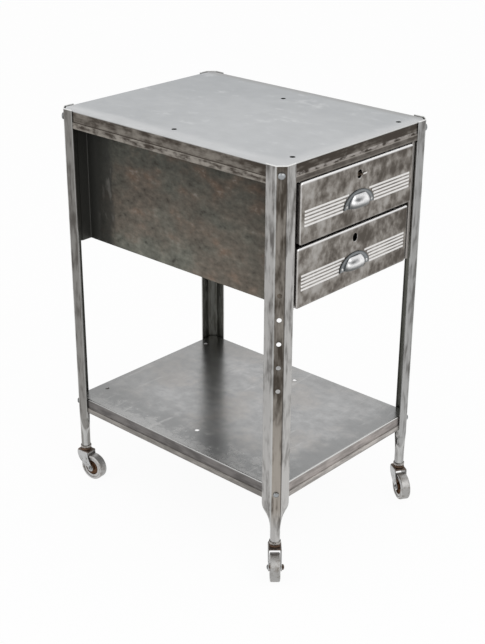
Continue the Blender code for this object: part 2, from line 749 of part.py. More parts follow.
def build_pull_holes(bm, height):
    for x, z in rivet_places(height):
        rod(bm, (x, FIT_GAP, z), (x, -3 * PULL_SHEET, z), RIVET_RADIUS + FIT_GAP, 8)


def build_rivet(bm):
    """Rivet on local Y: round head outside the pull's rim, tail inside the drawer box."""
    grip_start = -2 * FIT_GAP - PULL_SHEET
    grip_end = FRONT_SHEET + 2 * FIT_GAP + BOX_SHEET
    profile = []
    for cosine, sine in quarter(3)[:-1]:
        profile.append((RIVET_HEAD_RADIUS * cosine, grip_start - RIVET_HEAD_HEIGHT * sine))
    profile = profile[::-1] + [(RIVET_RADIUS, grip_start), (RIVET_RADIUS, grip_end)]
    tail_end = grip_end + RIVET_HEAD_HEIGHT
    profile += [(RIVET_HEAD_RADIUS, grip_end), (RIVET_HEAD_RADIUS * RIVET_TAIL_SHARE, tail_end)]
    turned(bm, profile, 8, along_y)


def tongue_inside():
    """Depth of the box's front wall, which the tongue's foot lies against."""
    return FRONT_SHEET + FIT_GAP + BOX_SHEET + FIT_GAP


def build_tongue(bm, height):
    """Spring strip of the lock: it starts in its foot, comes out of the lock hole and curls to the right."""
    foot = tongue_inside() + (TONGUE_FOOT_SHEET - TONGUE_SHEET) / 2
    corners = [(-TONGUE_FOOT / 2, foot), (TONGUE_SHEET, foot), (TONGUE_SHEET, -TONGUE_PROUD),
               (TONGUE_SHEET + TONGUE_REACH, -TONGUE_PROUD / 2)]
    outline = sheet_outline(corners, TONGUE_SHEET, TONGUE_SHEET)
    middle = height - KEYHOLE_DROP - TONGUE_DROP
    prism(bm, outline, middle - TONGUE_HEIGHT / 2, middle + TONGUE_HEIGHT / 2, along_z)


def build_tongue_foot(bm, height):
    """Flat foot behind the box's front wall, wider than the lock hole."""
    near = tongue_inside()
    far = near + TONGUE_FOOT_SHEET
    outline = [(-TONGUE_FOOT, near), (TONGUE_FOOT, near), (TONGUE_FOOT, far), (-TONGUE_FOOT, far)]
    middle = height - KEYHOLE_DROP - TONGUE_DROP
    prism(bm, outline, middle - TONGUE_FOOT_HEIGHT / 2, middle + TONGUE_FOOT_HEIGHT / 2, along_z)


def add_drawer(prefix, root, bottom_z, height, ajar, materials):
    frame = empty(prefix + "_drawer_frame", root, (0, DRAWER_FRONT_Y - ajar, bottom_z))
    name = prefix + "_drawer_front"
    pressing = piece(name, lambda bm: build_drawer_front(bm, height), frame, materials["front"])
    combine(pressing, lambda bm: build_ribs(bm, height), "UNION")
    combine(pressing, lambda bm: build_front_cuts(bm, height, 0.0), "DIFFERENCE")
    box = piece(prefix + "_drawer_box", lambda bm: build_drawer_box(bm, height), frame, materials["case"])
    combine(box, lambda bm: build_front_cuts(bm, height, FIT_GAP), "DIFFERENCE")
    pull = piece(prefix + "_pull", lambda bm: build_pull(bm, height), frame, materials["pull"])
    combine(pull, lambda bm: build_pull_holes(bm, height), "DIFFERENCE")
    for name, (x, z) in zip(("left", "right"), rivet_places(height)):
        piece(prefix + "_pull_rivet_" + name, build_rivet, frame, materials["fastener"], (x, 0, z))
    return frame


# Casters, each in a frame on its swivel axis with +X along the trail and +Y along the axle

def build_socket(bm):
    """Sleeve inside the leg's foot and a beaded collar below it."""
    sleeve = FOOT_TUBE_RADIUS - LEG_SHEET - SLEEVE_CLEARANCE
    bore = STEM_RADIUS + STEM_CLEARANCE
    low = CROWN_TOP_Z + FIT_GAP
    bead = COLLAR_HEIGHT / 4
    waist = COLLAR_RADIUS - LEG_SHEET / 2
    profile = [(sleeve, COLLAR_TOP_Z + SLEEVE_LENGTH), (sleeve, COLLAR_TOP_Z), (waist, COLLAR_TOP_Z),
               (COLLAR_RADIUS, COLLAR_TOP_Z - bead / 2), (COLLAR_RADIUS, COLLAR_TOP_Z - 1.5 * bead),
               (waist, COLLAR_TOP_Z - 2 * bead), (waist, low + bead), (COLLAR_RADIUS, low + bead / 2),
               (COLLAR_RADIUS, low), (bore, low), (bore, COLLAR_TOP_Z + SLEEVE_LENGTH)]
    turned(bm, profile, 14, along_z, closed=True)


def build_fork(bm):
    """Bent strip: a thick crown and two wide blades that lean back to the axle's eyes."""
    outer_bend = FORK_BEND + FORK_SHEET
    bend_z = CROWN_TOP_Z - outer_bend
    stations = []
    for share in FORK_EYE_SHARES:
        rise = FORK_EYE_RADIUS * share
        half = math.sqrt(FORK_EYE_RADIUS ** 2 - rise ** 2)
        stations.append((AXLE_Z - rise, CASTER_TRAIL - half, CASTER_TRAIL + half))
    for step in range(6):
        share = 1 - step / 5
        middle = CASTER_TRAIL * share ** FORK_LEAN_POWER
        half = FORK_CROWN_HALF + (FORK_EYE_RADIUS - FORK_CROWN_HALF) * share ** FORK_TAPER_POWER
        stations.append((bend_z + (AXLE_Z - bend_z) * share, middle - half, middle + half))
    path = []
    for height, back, front in stations:
        path.append(((FORK_HALF, height), (FORK_HALF - FORK_SHEET, height), back, front))
    bend_y = FORK_HALF - outer_bend
    for cosine, sine in quarter(3)[1:]:
        outer = (bend_y + outer_bend * cosine, bend_z + outer_bend * sine)
        inner = (bend_y + FORK_BEND * cosine, bend_z + (outer_bend - FORK_CROWN) * sine)
        path.append((outer, inner, -FORK_CROWN_HALF, FORK_CROWN_HALF))
    mirrored = []
    for outer, inner, back, front in path:
        mirrored.append(((-outer[0], outer[1]), (-inner[0], inner[1]), back, front))
    loops = []
    for outer, inner, back, front in path + mirrored[::-1]:
        loops.append([(back, *outer), (front, *outer), (front, *inner), (back, *inner)])
    loft(bm, loops)


def build_stem(bm):
    middle = (CROWN_UNDER_Z + CROWN_TOP_Z) / 2
    rod(bm, (0, 0, middle), (0, 0, CROWN_TOP_Z + STEM_LENGTH), STEM_RADIUS, 14)


def build_fork_eyes(bm):
    reach = FORK_HALF + FORK_SHEET
    rod(bm, (CASTER_TRAIL, -reach, AXLE_Z), (CASTER_TRAIL, reach, AXLE_Z), AXLE_RADIUS + AXLE_CLEARANCE, 12)


def build_axle(bm):
    """Axle bolt on local Y: a low round head at one blade and a hexagon nut, peened on, at the other."""
    seat = FORK_HALF + FIT_GAP
    loops = []

    def ring(radius, height):
        loops.append([(x, height, z) for x, z in circle(radius, 12)])

    for cosine, sine in quarter(3)[:-1][::-1]:
        ring(AXLE_HEAD_RADIUS * cosine, -seat - AXLE_HEAD_HEIGHT * sine)
    ring(AXLE_RADIUS, -seat)
    ring(AXLE_RADIUS, seat)
    for height in (seat, seat + AXLE_NUT_HEIGHT):
        loops.append([(x, height, z) for x, z in hexagon(AXLE_NUT_RADIUS)])
    ring(AXLE_RADIUS, seat + AXLE_NUT_HEIGHT)
    ring(AXLE_RADIUS, seat + AXLE_NUT_HEIGHT + FORK_SHEET / 2)
    loft(bm, loops)


def build_wheel(bm):
    """Turned wheel on local Y: flat tread, raised rim, thin web and a hub with its bore."""
    half = WHEEL_WIDTH / 2
    rim = WHEEL_RADIUS - WHEEL_RIM_DEPTH
    web = WHEEL_WEB / 2
    bore = AXLE_RADIUS + AXLE_CLEARANCE
    ledge = WHEEL_RADIUS - WHEEL_RIM_DEPTH / 2
    side = [(WHEEL_RADIUS, half - WHEEL_SHOULDER), (WHEEL_RADIUS - WHEEL_SHOULDER, half), (ledge, half),
            (ledge, half - WHEEL_RIM_STEP), (rim, half - WHEEL_RIM_STEP), (rim - WHEEL_SHOULDER, web),
            (HUB_RADIUS, web), (HUB_RADIUS, half + FORK_SIDE_GAP / 2), (bore, half + FORK_SIDE_GAP / 2)]
    profile = side + [(radius, -height) for radius, height in side[::-1]]
    turned(bm, profile, 24, along_y, closed=True)


def add_caster(corner, root, materials):
    sign_x, sign_y = CORNERS[corner]
    place = (sign_x * (HALF_X - STEM_INSET), sign_y * (HALF_Y - STEM_INSET), 0)
    piece("caster_socket_" + corner, build_socket, root, materials["rusty"], place)
    swivel = empty("caster_swivel_" + corner, root, place, SWIVEL_DEG[corner])
    fork = piece("caster_fork_" + corner, build_fork, swivel, materials["caster"])
    combine(fork, build_stem, "UNION")
    combine(fork, build_fork_eyes, "DIFFERENCE")
    hub = (CASTER_TRAIL, 0, AXLE_Z)
    piece("caster_axle_" + corner, build_axle, swivel, materials["fastener"], hub)
    piece("caster_wheel_" + corner, build_wheel, swivel, materials["caster"], hub)


def stand_on_origin(root):
    """Move the whole stand so that its box is centred on the origin and stands on z = 0."""
    bpy.context.view_layer.update()
    graph = bpy.context.evaluated_depsgraph_get()
    places = []
    for made in bpy.data.objects:
        if made.type == "MESH" and not made.hide_render:
            shaped = made.evaluated_get(graph)
            places += [shaped.matrix_world @ vertex.co for vertex in shaped.data.vertices]
    for axis in (0, 1):
        values = [place[axis] for place in places]
        root.location[axis] -= (min(values) + max(values)) / 2
    root.location.z -= min(place.z for place in places)
    bpy.context.view_layer.update()


def build_stand():
    clear_scene()
    materials = {
        "plate": finish("satin_plate", (0.50, 0.51, 0.52), 0.38),
        "leg": finish("brushed_leg", (0.38, 0.37, 0.36), 0.42),
        "case": finish("mottled_case", (0.10, 0.095, 0.08), 0.45),
        "front": finish("mottled_front", (0.20, 0.18, 0.16), 0.40),
        "pull": finish("polished_pull", (0.62, 0.64, 0.66), 0.20),
        "fastener": finish("dull_fastener", (0.30, 0.29, 0.28), 0.45),
        "caster": finish("worn_caster", (0.45, 0.45, 0.45), 0.40),
        "rusty": finish("rusty_collar", (0.16, 0.10, 0.07), 0.60),
    }
    root = empty("stand")
    add_pan("top_pan", root, materials["plate"], TOP_HEIGHT, PAN_CORNER_INSET, TOP_SKIRT, TOP_HEM_HEIGHT,
            TOP_BOLT_DROP, pan_hole_places(-1, 0, TOP_HOLE_SKEW))
    add_pan("shelf_pan", root, materials["plate"], SHELF_Z, SHELF_SIDE_INSET, SHELF_SKIRT, SHELF_HEM_HEIGHT,
            SHELF_BOLT_DROP, pan_hole_places(1, SHELF_HOLE_SHIFT, SHELF_HOLE_SHIFT))
    for corner in CORNERS:
        leg = piece("leg_" + corner, lambda bm: build_leg(bm, corner), root, materials["leg"])
        combine(leg, lambda bm: build_leg_cuts(bm, corner), "DIFFERENCE")
        add_fastener("top", corner, root, materials["fastener"], TOP_HEIGHT - TOP_BOLT_DROP,
                     TOP_BOLT_HEAD_RADIUS, TOP_BOLT_HEAD_HEIGHT)
        add_fastener("shelf", corner, root, materials["fastener"], SHELF_Z - SHELF_BOLT_DROP,
                     SHELF_BOLT_HEAD_RADIUS, SHELF_BOLT_HEAD_HEIGHT)
        add_caster(corner, root, materials)
    piece("case_back", build_case_back, root, materials["case"])
    for name, side in (("left", -1), ("right", 1)):
        piece("case_side_" + name, lambda bm: build_case_side(bm, side), root, materials["case"])
        for level, bottom in (("upper", UPPER_BOTTOM_Z), ("lower", LOWER_BOTTOM_Z)):
            floor_z = bottom + BOX_FLOOR_RISE
            runner = "runner_" + level + "_" + name
            piece(runner, lambda bm: build_runner(bm, side, floor_z), root, materials["case"])
    upper = add_drawer("upper", root, UPPER_BOTTOM_Z, UPPER_DRAWER_HEIGHT, UPPER_DRAWER_AJAR, materials)
    add_drawer("lower", root, LOWER_BOTTOM_Z, LOWER_DRAWER_HEIGHT, 0, materials)
    drawer = UPPER_DRAWER_HEIGHT
    tongue = piece("upper_lock_tongue", lambda bm: build_tongue(bm, drawer), upper, materials["fastener"])
    combine(tongue, lambda bm: build_tongue_foot(bm, drawer), "UNION")
    stand_on_origin(root)


build_stand()
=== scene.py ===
"""Mobile tool stand in bare pressed steel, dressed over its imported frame.

Four legs carry a top pan, a shelf pan and a case with two drawers, on four stem casters.
Lengths are in metres; +X is across the drawers, the drawers open towards -Y and +Z is up.
"""
import math

import bmesh
import bpy
from mathutils import Matrix, Vector


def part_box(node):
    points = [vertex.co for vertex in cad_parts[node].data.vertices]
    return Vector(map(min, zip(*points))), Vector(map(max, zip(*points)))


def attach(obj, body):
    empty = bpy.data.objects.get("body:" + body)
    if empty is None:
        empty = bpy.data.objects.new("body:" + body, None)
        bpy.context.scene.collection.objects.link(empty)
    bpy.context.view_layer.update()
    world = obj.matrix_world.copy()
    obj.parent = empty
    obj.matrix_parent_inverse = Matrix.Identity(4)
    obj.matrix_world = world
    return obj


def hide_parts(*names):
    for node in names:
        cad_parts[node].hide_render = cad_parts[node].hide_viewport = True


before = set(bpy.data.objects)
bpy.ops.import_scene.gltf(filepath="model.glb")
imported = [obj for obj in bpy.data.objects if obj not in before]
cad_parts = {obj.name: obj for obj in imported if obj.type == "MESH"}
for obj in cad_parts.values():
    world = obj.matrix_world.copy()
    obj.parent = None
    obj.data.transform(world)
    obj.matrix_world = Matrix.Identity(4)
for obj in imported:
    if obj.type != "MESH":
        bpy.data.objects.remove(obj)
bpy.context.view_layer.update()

# Legs: one strip of sheet steel each, pressed to two flanges and a 45 degree face with small lips, and drawn
# in at the foot to a rolled tube. The steel was stripped bare and its faces stained. Each flange is painted
# lighter or darker for the light it faces; one bend, the lips and the top edge carry painted highlights, and
# the other bend painted shade.
MM = 0.001
DIAGONAL = math.sqrt(0.5)
LEG_SHEET = 1.6 * MM
LEG_FACE = 15.0 * MM
LEG_REACH = 40.0 * MM
LEG_LIP = 3.6 * MM
LEG_BEND = 3.4 * MM
LEG_LIP_BEND = 0.6 * MM
LEG_EDGE = 0.25 * MM
FOOT_LENGTH = 62.0 * MM
FOOT_STEPS = 28
TUBE_LENGTH = 24.0 * MM
TUBE_RADIUS = 10.25 * MM
TUBE_SEAM = 1.9 * MM
LEG_HOLE_RADIUS = 4.8 * MM
LEG_HOLE_DROP = 250.0 * MM
LEG_HOLE_PITCH = 50.0 * MM
LEG_HOLE_COUNT = 5
BOLT_HOLE_RADIUS = 3.6 * MM
TOP_BOLT_DROP = 17.5 * MM
SHELF_BOLT_DROP = 14.8 * MM
TOP_TRIM_DROP = 41.2 * MM
SHARP_ANGLE = math.radians(40)
TOP_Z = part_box("top_pan")[1].z
SHELF_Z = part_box("shelf_pan")[1].z
CORNERS = {"front_left": (-1, -1), "front_right": (1, -1), "rear_right": (1, 1), "rear_left": (-1, 1)}


class Shade:
    """One socket of a finish: arithmetic on values adds Math nodes, and node() adds any other node."""

    def __init__(self, tree, socket=None):
        self.tree = tree
        self.socket = socket

    def node(self, kind, settings, sockets, output=0):
        made = self.tree.nodes.new("ShaderNode" + kind)
        for name, value in settings.items():
            setattr(made, name, value)
        for name, value in sockets.items():
            target = made.inputs[name]
            if isinstance(value, Shade):
                self.tree.links.new(value.socket, target)
            elif target.type == "RGBA":
                target.default_value = (*value, 1.0)
            else:
                target.default_value = value
        return Shade(self.tree, made.outputs[output] if made.outputs else None)

    def count(self, operation, *values):
        return self.node("Math", {"operation": operation}, dict(enumerate(values)))

    def __add__(self, other):
        return self.count("ADD", self, other)

    def __sub__(self, other):
        return self.count("SUBTRACT", self, other)

    def __rsub__(self, other):
        return self.count("SUBTRACT", other, self)

    def __mul__(self, other):
        return self.count("MULTIPLY", self, other)

    def __abs__(self):
        return self.count("ABSOLUTE", self)

    def root(self):
        return self.count("SQRT", self)

    __radd__ = __add__
    __rmul__ = __mul__


def new_tree(owner):
    """The emptied node tree of a material or world."""
    owner.use_nodes = True
    owner.node_tree.nodes.clear()
    return Shade(owner.node_tree)


def new_finish(name):
    """A material, and the place on the piece that its nodes start from."""
    made = bpy.data.materials.new(name)
    return made, new_tree(made).node("TexCoord", {}, {}, "Object")


def close_finish(made, place, colour, roughness, relief, depth, metallic=1.0):
    """Join colour, gloss and relief to the surface; depth is the height of the relief in metres."""
    normal = place.node("Bump", {}, {"Height": relief, "Distance": depth})
    sockets = {"Base Color": colour, "Roughness": roughness, "Metallic": metallic, "Normal": normal}
    surface = place.node("BsdfPrincipled", {}, sockets)
    place.node("OutputMaterial", {}, {"Surface": surface})
    return made


def axes(place):
    return [place.node("SeparateXYZ", {}, {"Vector": place}, axis) for axis in range(3)]


def ease(value, low, high):
    """0 at low and 1 at high, with a smooth run between; low may be the larger."""
    sockets = {"Value": value, "From Min": low, "From Max": high}
    return value.node("MapRange", {"interpolation_type": "SMOOTHSTEP"}, sockets)


def near(value, middle, wide, narrow):
    """1 within narrow of the middle, and 0 from wide on."""
    return ease(abs(value - middle), wide, narrow)


def cloud(place, size, stretch=(1, 1, 1), detail=3, shift=0, grain=0.55):
    """Soft noise with blotches about size across; a stretch below 1 draws them out, grain adds specks."""
    spot = place.node("Mapping", {}, {"Vector": place, "Location": (shift, shift, shift), "Scale": stretch})
    sockets = {"Vector": spot, "Scale": 1 / size, "Detail": detail, "Roughness": grain}
    return place.node("TexNoise", {}, sockets)


def mix(amount, under, over):
    return amount.node("Mix", {"data_type": "RGBA"}, {0: amount, 6: under, 7: over}, 2)


def coats(colour, *layers):
    """Lay each (amount, colour) over what is under it."""
    for amount, over in layers:
        colour = mix(amount, colour, over)
    return colour


def lit(colour, level):
    """The colour made lighter or darker by a value."""
    return level.node("VectorMath", {"operation": "SCALE"}, {0: colour, "Scale": level})


def lesser(one, other):
    return one.count("MINIMUM", one, other)


def greater(one, other):
    return one.count("MAXIMUM", one, other)


def ribbon(bm, row, following, closed=True):
    """Faces between two equal rows of points, which run round when closed."""
    count = len(row)
    for i in range(count if closed else count - 1):
        j = (i + 1) % count
        bm.faces.new((row[i], row[j], following[j], following[i]))


def skin(bm, loops, closed=False):
    """Join equal loops of points; the ends are capped, or joined to each other when closed."""
    rings = [[bm.verts.new(point) for point in loop] for loop in loops]
    for ring, following in zip(rings, rings[1:]):
        ribbon(bm, ring, following)
    if closed:
        ribbon(bm, rings[-1], rings[0])
    else:
        bm.faces.new(rings[0])
        bm.faces.new(rings[-1])


def circle(radius, sides):
    """Points at even steps round a circle."""
    angles = [math.tau * i / sides for i in range(sides)]
    return [(radius * math.cos(angle), radius * math.sin(angle)) for angle in angles]


def bar(bm, start, end, radius, sides=28):
    """A round bar between two points."""
    start = Vector(start)
    end = Vector(end)
    turn = (end - start).to_track_quat("Z", "Y")
    ring = [turn @ Vector((x, y, 0)) for x, y in circle(radius, sides)]
    skin(bm, [[start + point for point in ring], [end + point for point in ring]])


def put(name, data, place):
    """One object in the scene."""
    made = bpy.data.objects.new(name, data)
    bpy.context.collection.objects.link(made)
    made.matrix_world = place
    return made


def new_piece(name, build, place=Matrix.Identity(4)):
    """One object whose mesh is filled by build(bm)."""
    bm = bmesh.new()
    build(bm)
    bmesh.ops.remove_doubles(bm, verts=bm.verts, dist=0.001 * MM)
    bmesh.ops.recalc_face_normals(bm, faces=bm.faces)
    mesh = bpy.data.meshes.new(name)
    bm.to_mesh(mesh)
    bm.free()
    return put(name, mesh, place)


def shape(made, build, operation):
    """Cut or join a piece with a tool mesh made by build(bm), and keep the result as its mesh."""
    tool = new_piece(made.name + "_tool", build, made.matrix_world)
    modifier = made.modifiers.new("shape", "BOOLEAN")
    modifier.operation = operation
    modifier.object = tool
    bpy.context.view_layer.update()
    graph = bpy.context.evaluated_depsgraph_get()
    made.data = bpy.data.meshes.new_from_object(made.evaluated_get(graph))
    made.modifiers.remove(modifier)
    bpy.data.objects.remove(tool)


def paint(piece, finish):
    piece.data.materials.clear()
    piece.data.materials.append(finish)


def stand_for(made, edge, node, body, finish):
    """Smooth a piece, break its cut edges by a small round, and let it stand for a CAD node on its body."""
    made.data.shade_smooth()
    made.data.set_sharp_from_angle(angle=SHARP_ANGLE)
    round_edge = made.modifiers.new("edge", "BEVEL")
    round_edge.width = edge
    round_edge.segments = 2
    round_edge.limit_method = "ANGLE"
    round_edge.angle_limit = SHARP_ANGLE
    made.modifiers.new("flat", "WEIGHTED_NORMAL").keep_sharp = True
    paint(made, finish)
    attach(made, body)
    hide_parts(node)


def bend(start, corner, end, radius, steps):
    """Points of the round bend where a line turns left at a corner."""
    before = (corner - start).normalized()
    after = (end - corner).normalized()
    turn = math.atan2(before.x * after.y - before.y * after.x, before.dot(after))
    side = Vector((-before.y, before.x))
    centre = corner - before * radius * math.tan(turn / 2) + side * radius
    return [centre - Matrix.Rotation(turn * step / steps, 2) @ side * radius for step in range(steps + 1)]


def bent_line(corners, bends, sheet, steps, longest):
    """Points and normals along the outside of a bent sheet that lies to the left of the line."""
    corners = [Vector(corner) for corner in corners]
    points = [corners[0]]
    for i in range(1, len(corners) - 1):
        points += bend(*corners[i - 1:i + 2], bends[i - 1] + sheet, steps)
    points.append(corners[-1])
    filled = [points[0]]
    for start, end in zip(points, points[1:]):
        parts = math.ceil((end - start).length / longest)
        filled += [start.lerp(end, part / parts) for part in range(1, parts + 1)]
    normals = []
    for i in range(len(filled)):
        runs = zip(filled[max(i - 1, 0):i + 1], filled[max(i, 1):i + 2])
        ways = [(end - start).normalized() for start, end in runs]
        normal = Vector((-sum(way.y for way in ways), sum(way.x for way in ways))).normalized()
        normals.append(normal / normal.dot(Vector((-ways[0].y, ways[0].x))))
    return filled, normals


leg_low, leg_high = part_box("leg_front_left")
TUBE_END_Z = leg_low.z
TUBE_TOP_Z = TUBE_END_Z + TUBE_LENGTH
FOOT_TOP_Z = TUBE_TOP_Z + FOOT_LENGTH
STEM_INSET = LEG_FACE / 2 + TUBE_RADIUS * DIAGONAL


def build_leg(bm):
    """The leg in its own corner: x and y run in from its two outer faces."""
    corners = [(LEG_LIP, LEG_REACH), (0, LEG_REACH), (0, LEG_FACE),
               (LEG_FACE, 0), (LEG_REACH, 0), (LEG_REACH, LEG_LIP)]
    bends = [LEG_LIP_BEND, LEG_BEND, LEG_BEND, LEG_LIP_BEND]
    points, normals = bent_line(corners, bends, LEG_SHEET, steps=6, longest=3 * MM)
    pressed = points + [point + normal * LEG_SHEET for point, normal in zip(points, normals)][::-1]
    lengths = [0.0]
    for start, end in zip(points, points[1:]):
        lengths.append(lengths[-1] + (end - start).length)
    centre = Vector((STEM_INSET, STEM_INSET))
    inward = Vector((DIAGONAL, DIAGONAL))
    across = Vector((DIAGONAL, -DIAGONAL))
    widest = math.pi - TUBE_SEAM / 2 / TUBE_RADIUS
    ways = []
    for length in lengths:
        angle = widest * (2 * length / lengths[-1] - 1)
        ways.append(across * math.sin(angle) - inward * math.cos(angle))
    tube = [centre + way * TUBE_RADIUS for way in ways]
    tube += [centre + way * (TUBE_RADIUS - LEG_SHEET) for way in ways][::-1]
    levels = [(leg_high.z, 0.0)]
    for step in range(FOOT_STEPS + 1):
        share = step / FOOT_STEPS
        levels.append((FOOT_TOP_Z - FOOT_LENGTH * share, share * share * (3 - 2 * share)))
    levels.append((TUBE_END_Z, 1.0))
    loops = []
    for height, rolled in levels:
        places = [flat.lerp(curved, rolled) for flat, curved in zip(pressed, tube)]
        loops.append([(place.x, place.y, height) for place in places])
    skin(bm, loops)


def build_leg_cuts(bm):
    """Bolt holes, the row of shelf holes, and the lips trimmed off beside the top pan's skirt."""
    holes = [(TOP_Z - TOP_BOLT_DROP, BOLT_HOLE_RADIUS), (SHELF_Z - SHELF_BOLT_DROP, BOLT_HOLE_RADIUS)]
    for i in range(LEG_HOLE_COUNT):
        holes.append((TOP_Z - LEG_HOLE_DROP - i * LEG_HOLE_PITCH, LEG_HOLE_RADIUS))
    reach = 4 * LEG_SHEET * DIAGONAL
    start = LEG_FACE / 2 - reach
    end = LEG_FACE / 2 + reach
    for height, radius in holes:
        bar(bm, (start, start, height), (end, end, height), radius)
    shallow = 1.05 * LEG_SHEET
    deep = 2 * LEG_LIP
    start = LEG_REACH - 2 * LEG_SHEET - LEG_LIP_BEND
    end = LEG_REACH + LEG_SHEET
    levels = (TOP_Z - TOP_TRIM_DROP, TOP_Z + LEG_LIP)
    for outline in ([(shallow, start), (deep, start), (deep, end), (shallow, end)],
                    [(start, shallow), (end, shallow), (end, deep), (start, deep)]):
        skin(bm, [[(x, y, height) for x, y in outline] for height in levels])


LEG_HIGHLIGHT = (0.52, 0.52, 0.51)
LEG_PALE = (0.46, 0.452, 0.44)
LEG_SATIN = (0.41, 0.402, 0.392)
LEG_DUSK = (0.34, 0.338, 0.332)
LEG_GREY = (0.225, 0.218, 0.206)
LEG_SOOT_AND_SHADE = (0.055, 0.047, 0.040)
LEG_CREST = (0.80, 0.80, 0.79)
FACE_WORN = (0.262, 0.240, 0.214)
FACE_STAIN = (0.070, 0.059, 0.048)
INSIDE_DARK = (0.115, 0.115, 0.10)
INSIDE_RUBBED = (0.18, 0.18, 0.165)
# Painted light and shade: each leg's two flanges get the tones for the light their sides face.
FLANGE_SIDE_SHADES = {"front_left": (LEG_SATIN, LEG_PALE), "front_right": (LEG_DUSK, LEG_SATIN),
                "rear_right": (LEG_SATIN, LEG_DUSK), "rear_left": (LEG_SATIN, LEG_GREY)}
# The bend that carries the painted highlight, on the side given by the sign.
HIGHLIGHT_BENDS = {"front_left": 1, "front_right": 1, "rear_right": 1, "rear_left": -1}


def leg_finish(corner, shift):
    """Flanges painted light or dark per side, a stained face, painted bend highlight and shade, darker
    inside.
    """
    made, place = new_finish("brushed_leg_" + corner)
    u, v, height = axes(place)
    lean = v - u
    reach = greater(u, v)
    low = ease(height, TOP_Z - 400 * MM, TOP_Z - 640 * MM)
    top = ease(height, TOP_Z - 50 * MM, TOP_Z - 22 * MM)
    # Painted highlight along the top edge of the leg, made less metallic.
    crest = ease(height, TOP_Z - 0.8 * MM, TOP_Z + 0.2 * MM)
    above_foot = ease(height, TUBE_TOP_Z, FOOT_TOP_Z)
    face = ease(abs(lean), 14.6 * MM, 12.6 * MM) * above_foot
    highlight_side = HIGHLIGHT_BENDS[corner] * LEG_FACE
    # Painted highlight along one bend.
    bend_highlight = near(lean, highlight_side, 3.2 * MM, 1.0 * MM)
    beside_bend = near(lean, highlight_side, 14 * MM, 4 * MM)
    # Painted shade along the other bend; the same colour also serves as real soot on the flanges.
    bend_shade = near(lean, -0.9 * highlight_side, 2.4 * MM, 0.7 * MM) * above_foot
    # Painted highlight on the rounded edges of the flange lips.
    lip_highlight = ease(reach, 37.8 * MM, 39.3 * MM)
    depth = lesser(lesser(u, v), (u + v - LEG_FACE) * DIAGONAL)
    inside = ease(depth, 0.8 * MM, 1.3 * MM) * ease(height, FOOT_TOP_Z - 20 * MM, FOOT_TOP_Z)
    inside = inside * ease(reach, 39.7 * MM, 39.3 * MM)
    broad = cloud(place, 60 * MM, (1, 1, 0.7), 2, shift + 5)
    blotch = cloud(place, 19 * MM, (1, 1, 0.4), 3, shift)
    smear = cloud(place, 7 * MM, (1, 1, 0.14), 3, shift + 3)
    brush = cloud(place, 1.6 * MM, (1, 1, 0.02), 3, shift + 7)
    grime = blotch * 0.5 + smear * 0.5
    soot = ease(grime + (broad - 0.5) * 0.35 + beside_bend * 0.03 - low * 0.06, 0.42, 0.67)
    stain = ease(grime + (broad - 0.5) * 0.3 + top * 0.03 - low * 0.10, 0.36, 0.62)
    # Painted light and shade: each flange gets the tone for the light its side faces.
    first_side_shade, second_side_shade = FLANGE_SIDE_SHADES[corner]
    flange = mix(ease(lean, -1 * MM, 1 * MM), second_side_shade, first_side_shade)
    flange = lit(mix(soot * 0.75, flange, LEG_SOOT_AND_SHADE), 1.0 + low * 0.10)
    corner_face = lit(mix(stain, FACE_WORN, FACE_STAIN), 0.95 + low * 0.45)
    hollow = mix(ease(smear, 0.48, 0.62), INSIDE_DARK, INSIDE_RUBBED)
    colour = coats(flange, (face, corner_face), (lip_highlight * 0.35, LEG_HIGHLIGHT),
                   (bend_shade * 0.75, LEG_SOOT_AND_SHADE), (bend_highlight * (0.9 - soot * 0.5), LEG_HIGHLIGHT),
                   (inside, hollow), (crest, LEG_CREST))
    colour = lit(colour, 0.88 + brush * 0.24)
    roughness = 0.34 + soot * 0.12 + face * 0.08
    relief = blotch + brush * 0.3
    return close_finish(made, place, colour, roughness, relief, 0.15 * MM, 1 - crest * 0.55)


leg = new_piece("leg", build_leg)
shape(leg, build_leg_cuts, "DIFFERENCE")
for index, (corner, (sign_x, sign_y)) in enumerate(CORNERS.items()):
    low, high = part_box("leg_" + corner)
    outer = Vector((low.x if sign_x < 0 else high.x, low.y if sign_y < 0 else high.y, 0))
    turn = Matrix.Rotation(math.radians(90 * index), 4, "Z")
    pressed_leg = put("pressed_leg_" + corner, leg.data.copy(), Matrix.Translation(outer) @ turn)
    stand_for(pressed_leg, LEG_EDGE, "leg_" + corner, "frame", leg_finish(corner, 11 * index))
bpy.data.objects.remove(leg)

# Top pan: a plate of sheet steel with its edges turned down to a skirt, and a hem folded out along the lower
# edge. It is bolted inside the four legs. Work polished the plate, and the skirt kept its brown stains.
PAN_SHEET = 1.6 * MM
PAN_BEND = 1.4 * MM
PAN_HEM = 1.4 * MM
PAN_FIT = 0.3 * MM
PAN_EDGE = 0.2 * MM
HEM_CREASE = 0.5 * MM
TOP_SKIRT = 38.0 * MM
TOP_HEM_HEIGHT = 14.0 * MM
PAN_CORNER_INSET = LEG_SHEET + PAN_FIT + PAN_HEM
PAN_HOLE_RADIUS = 4.9 * MM
PAN_HOLE_FROM_SIDE = 65.5 * MM
PAN_HOLE_FROM_END = 32.0 * MM
PAN_HOLE_SPACING = 288.0 * MM
TOP_HOLE_SKEW = -17.0 * MM
HALF_X = -leg_low.x
HALF_Y = (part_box("leg_rear_left")[1].y - leg_low.y) / 2
MIDDLE_Y = leg_low.y + HALF_Y


def quarter(steps):
    """Cosine and sine at even steps over a quarter turn."""
    angles = [math.pi / 2 * step / steps for step in range(steps + 1)]
    return [(math.cos(angle), math.sin(angle)) for angle in angles]


